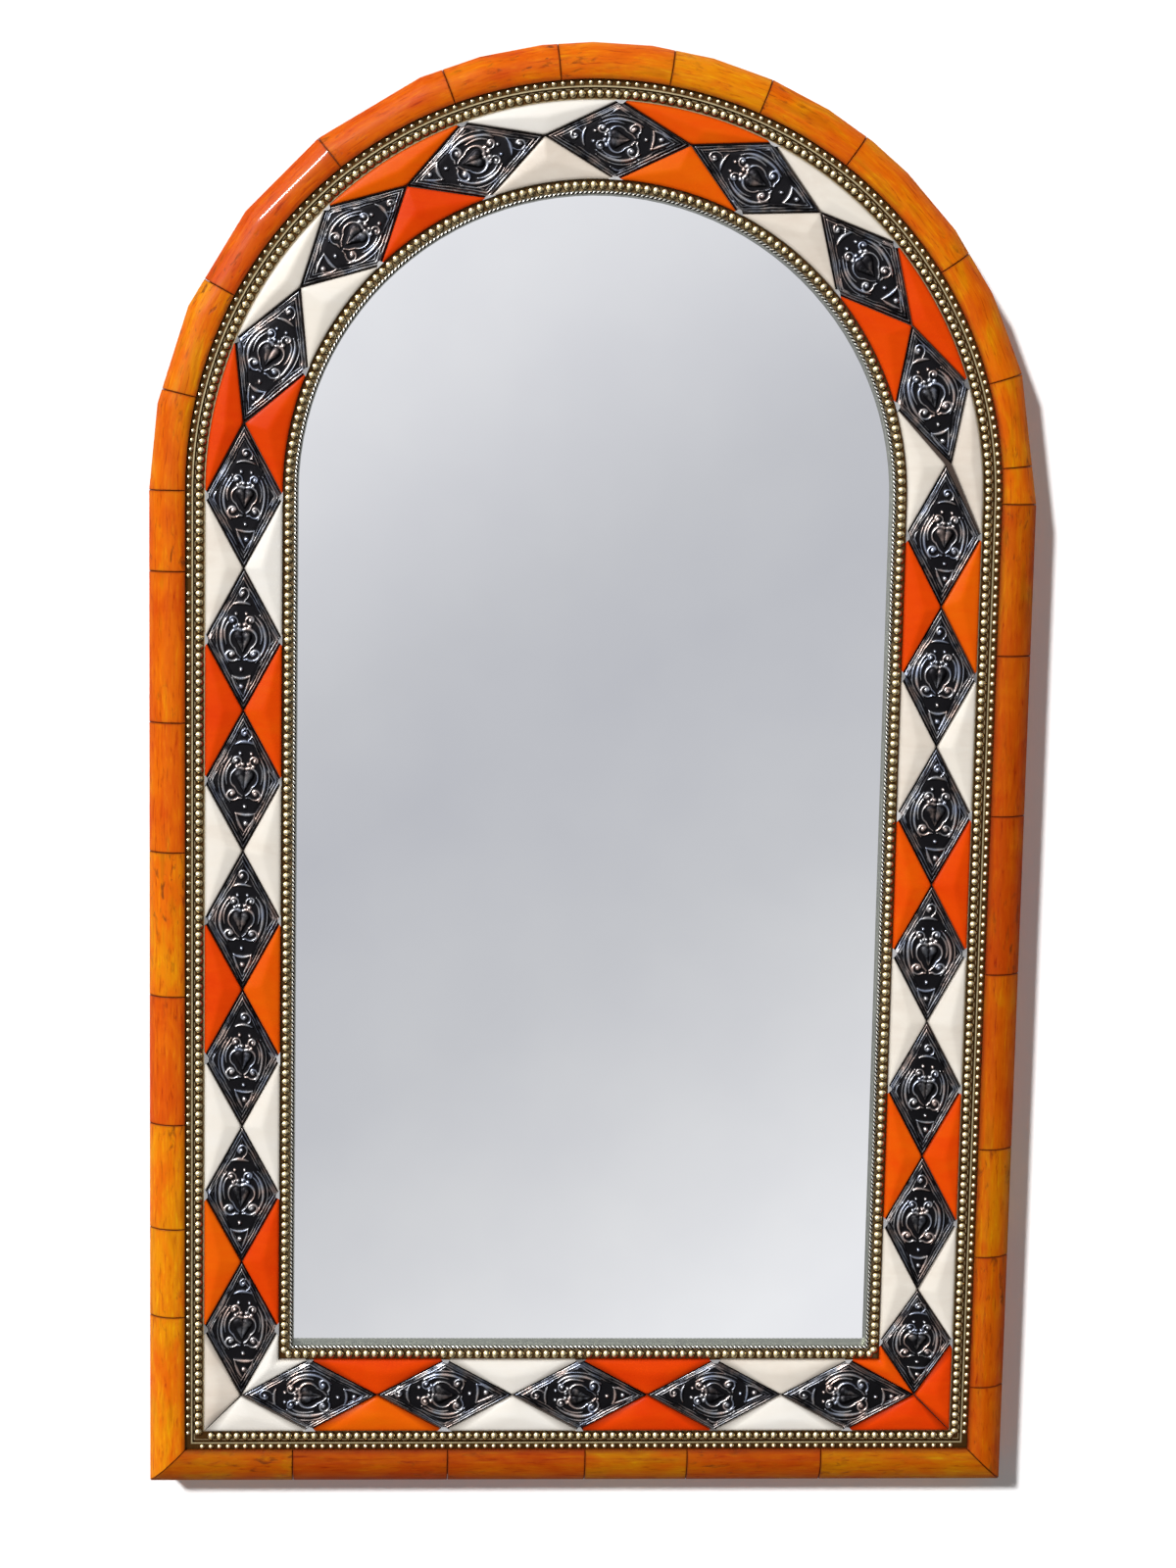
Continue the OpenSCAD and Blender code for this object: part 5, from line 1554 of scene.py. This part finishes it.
class MIRROR_OT_stage(bpy.types.Operator):
    """Pale wall and floor, soft light and the camera"""

    bl_idname = "mirror.stage"
    bl_label = "Stage, light and camera"

    def execute(self, context):
        stage = context.scene.mirror_stage
        far, low, high = ROOM_REACH, ROOM_DROP, ROOM_RISE
        wall = one_sided("stage_wall", (0.97, 0.97, 0.97), stage.lift, True)
        flat_sheet("stage_wall", [(-far, 0, low), (far, 0, low), (far, 0, high), (-far, 0, high)], wall)
        floor = one_sided("stage_floor", (0.93, 0.93, 0.93), stage.lift, False)
        flat_sheet("stage_floor", [(-far, -far, low), (far, -far, low), (far, 0, low), (-far, 0, low)], floor)
        self.camera(context, stage)
        self.key_light(stage)
        self.surroundings(context, stage)
        context.scene.view_settings.view_transform = "Standard"
        return {"FINISHED"}

    def camera(self, context, stage):
        """Stands the camera where the photograph was taken from."""
        data = bpy.data.cameras.new("camera")
        data.sensor_width, data.lens = 36.0, stage.lens
        data.clip_start, data.clip_end = 0.05, 50.0
        camera = bpy.data.objects.new("camera", data)
        context.scene.collection.objects.link(camera)
        turn = Matrix.Rotation(stage.roll, 3, "Z") @ Matrix.Rotation(stage.swing, 3, "Y")
        turn = turn @ Matrix.Rotation(stage.tilt, 3, "X")
        stand = Matrix(((1, 0, 0), (0, 0, -1), (0, 1, 0)))
        place = Matrix.Translation((stage.eye_x, stage.eye_y, stage.eye_z))
        camera.matrix_world = place @ (stand @ turn.transposed()).to_4x4()
        context.scene.camera = camera

    def key_light(self, stage):
        """A broad sun from the upper left, in front."""
        data = bpy.data.lights.new("key", "SUN")
        data.energy, data.angle = stage.key, stage.softness
        light = bpy.data.objects.new("key", data)
        bpy.context.scene.collection.objects.link(light)
        light.rotation_euler = Vector(SUN_TOWARDS).normalized().to_track_quat("-Z", "Y").to_euler()

    def surroundings(self, context, stage):
        """A studio all round. On matt surfaces it is even light, stronger from behind the wall, and to the
        camera and through glass it is white. In metal and mirrors it has bands by height that lean to one
        side, times lighter and darker stretches from left to right, plus a lamp up on the left."""
        world = bpy.data.worlds.new("studio")
        context.scene.world = world
        world.use_nodes = True
        tree = world.node_tree
        tree.nodes.clear()
        way = node_in(tree, "ShaderNodeTexCoord").outputs["Generated"]
        part = node_in(tree, "ShaderNodeSeparateXYZ", {0: way}).outputs
        slope = maths_in(tree, "MULTIPLY", part["X"], -0.3)
        bands = ramp_in(tree, STUDIO_BANDS, maths_in(tree, "ADD", line_in(tree, part["Z"], 0.5, 0.5), slope))
        sides = ramp_in(tree, STUDIO_SIDES, line_in(tree, part["X"], 0.5, 0.5))
        aim = {0: way, 1: Vector(LAMP_TOWARDS).normalized()}
        aimed = node_in(tree, "ShaderNodeVectorMath", aim, operation="DOT_PRODUCT").outputs["Value"]
        lamp = mix_in(tree, 1.0, ramp_in(tree, STUDIO_LAMP, aimed), (5.0, 5.0, 5.0), "MULTIPLY")
        studio = mix_in(tree, 1.0, mix_in(tree, 1.0, bands, sides, "MULTIPLY"), lamp, "ADD")
        behind = maths_in(tree, "GREATER_THAN", part["Y"], 0.0)
        strength = line_in(tree, behind, stage.behind - stage.fill, stage.fill)
        even = node_in(tree, "ShaderNodeBackground", {"Color": WHITE, "Strength": strength})
        seen = node_in(tree, "ShaderNodeBackground", {"Color": studio})
        white = node_in(tree, "ShaderNodeBackground", {"Color": WHITE})
        path = node_in(tree, "ShaderNodeLightPath").outputs
        direct = maths_in(tree, "MAXIMUM", path["Is Camera Ray"], path["Is Transmission Ray"])
        shown = mixed_shaders(tree, direct, mixed_shaders(tree, path["Is Glossy Ray"], even, seen), white)
        node_in(tree, "ShaderNodeOutputWorld", {"Surface": shown.outputs[0]})


STEPS = (MIRROR_OT_border, MIRROR_OT_trim, MIRROR_OT_inlay, MIRROR_OT_back, MIRROR_OT_stage)
SETTINGS = {
    "mirror_border": BorderSettings,
    "mirror_trim": TrimSettings,
    "mirror_inlay": InlaySettings,
    "mirror_back": BackSettings,
    "mirror_stage": StageSettings,
}


class MIRROR_PT_panel(bpy.types.Panel):
    """Lists the steps and their sizes"""

    bl_idname = "MIRROR_PT_panel"
    bl_label = "Bone Inlay Mirror"
    bl_space_type = "VIEW_3D"
    bl_region_type = "UI"
    bl_category = "Mirror"

    def draw(self, context):
        for step, (key, group) in zip(STEPS, SETTINGS.items()):
            box = self.layout.box()
            box.operator(step.bl_idname, text=step.bl_label)
            for name in group.__annotations__:
                box.prop(getattr(context.scene, key), name)


def register():
    """Makes the settings, the steps and the panel known to Blender."""
    for group in (*SETTINGS.values(), *STEPS, MIRROR_PT_panel):
        bpy.utils.register_class(group)
    for key, group in SETTINGS.items():
        setattr(bpy.types.Scene, key, bpy.props.PointerProperty(type=group))


def unregister():
    """Takes them away again."""
    for key in SETTINGS:
        delattr(bpy.types.Scene, key)
    for group in (MIRROR_PT_panel, *reversed(STEPS), *reversed(list(SETTINGS.values()))):
        bpy.utils.unregister_class(group)


def main():
    """Registers the add-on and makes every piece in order."""
    register()
    bpy.ops.mirror.border()
    bpy.ops.mirror.trim()
    bpy.ops.mirror.inlay()
    bpy.ops.mirror.back()
    bpy.ops.mirror.stage()


if __name__ == "__main__":
    main()
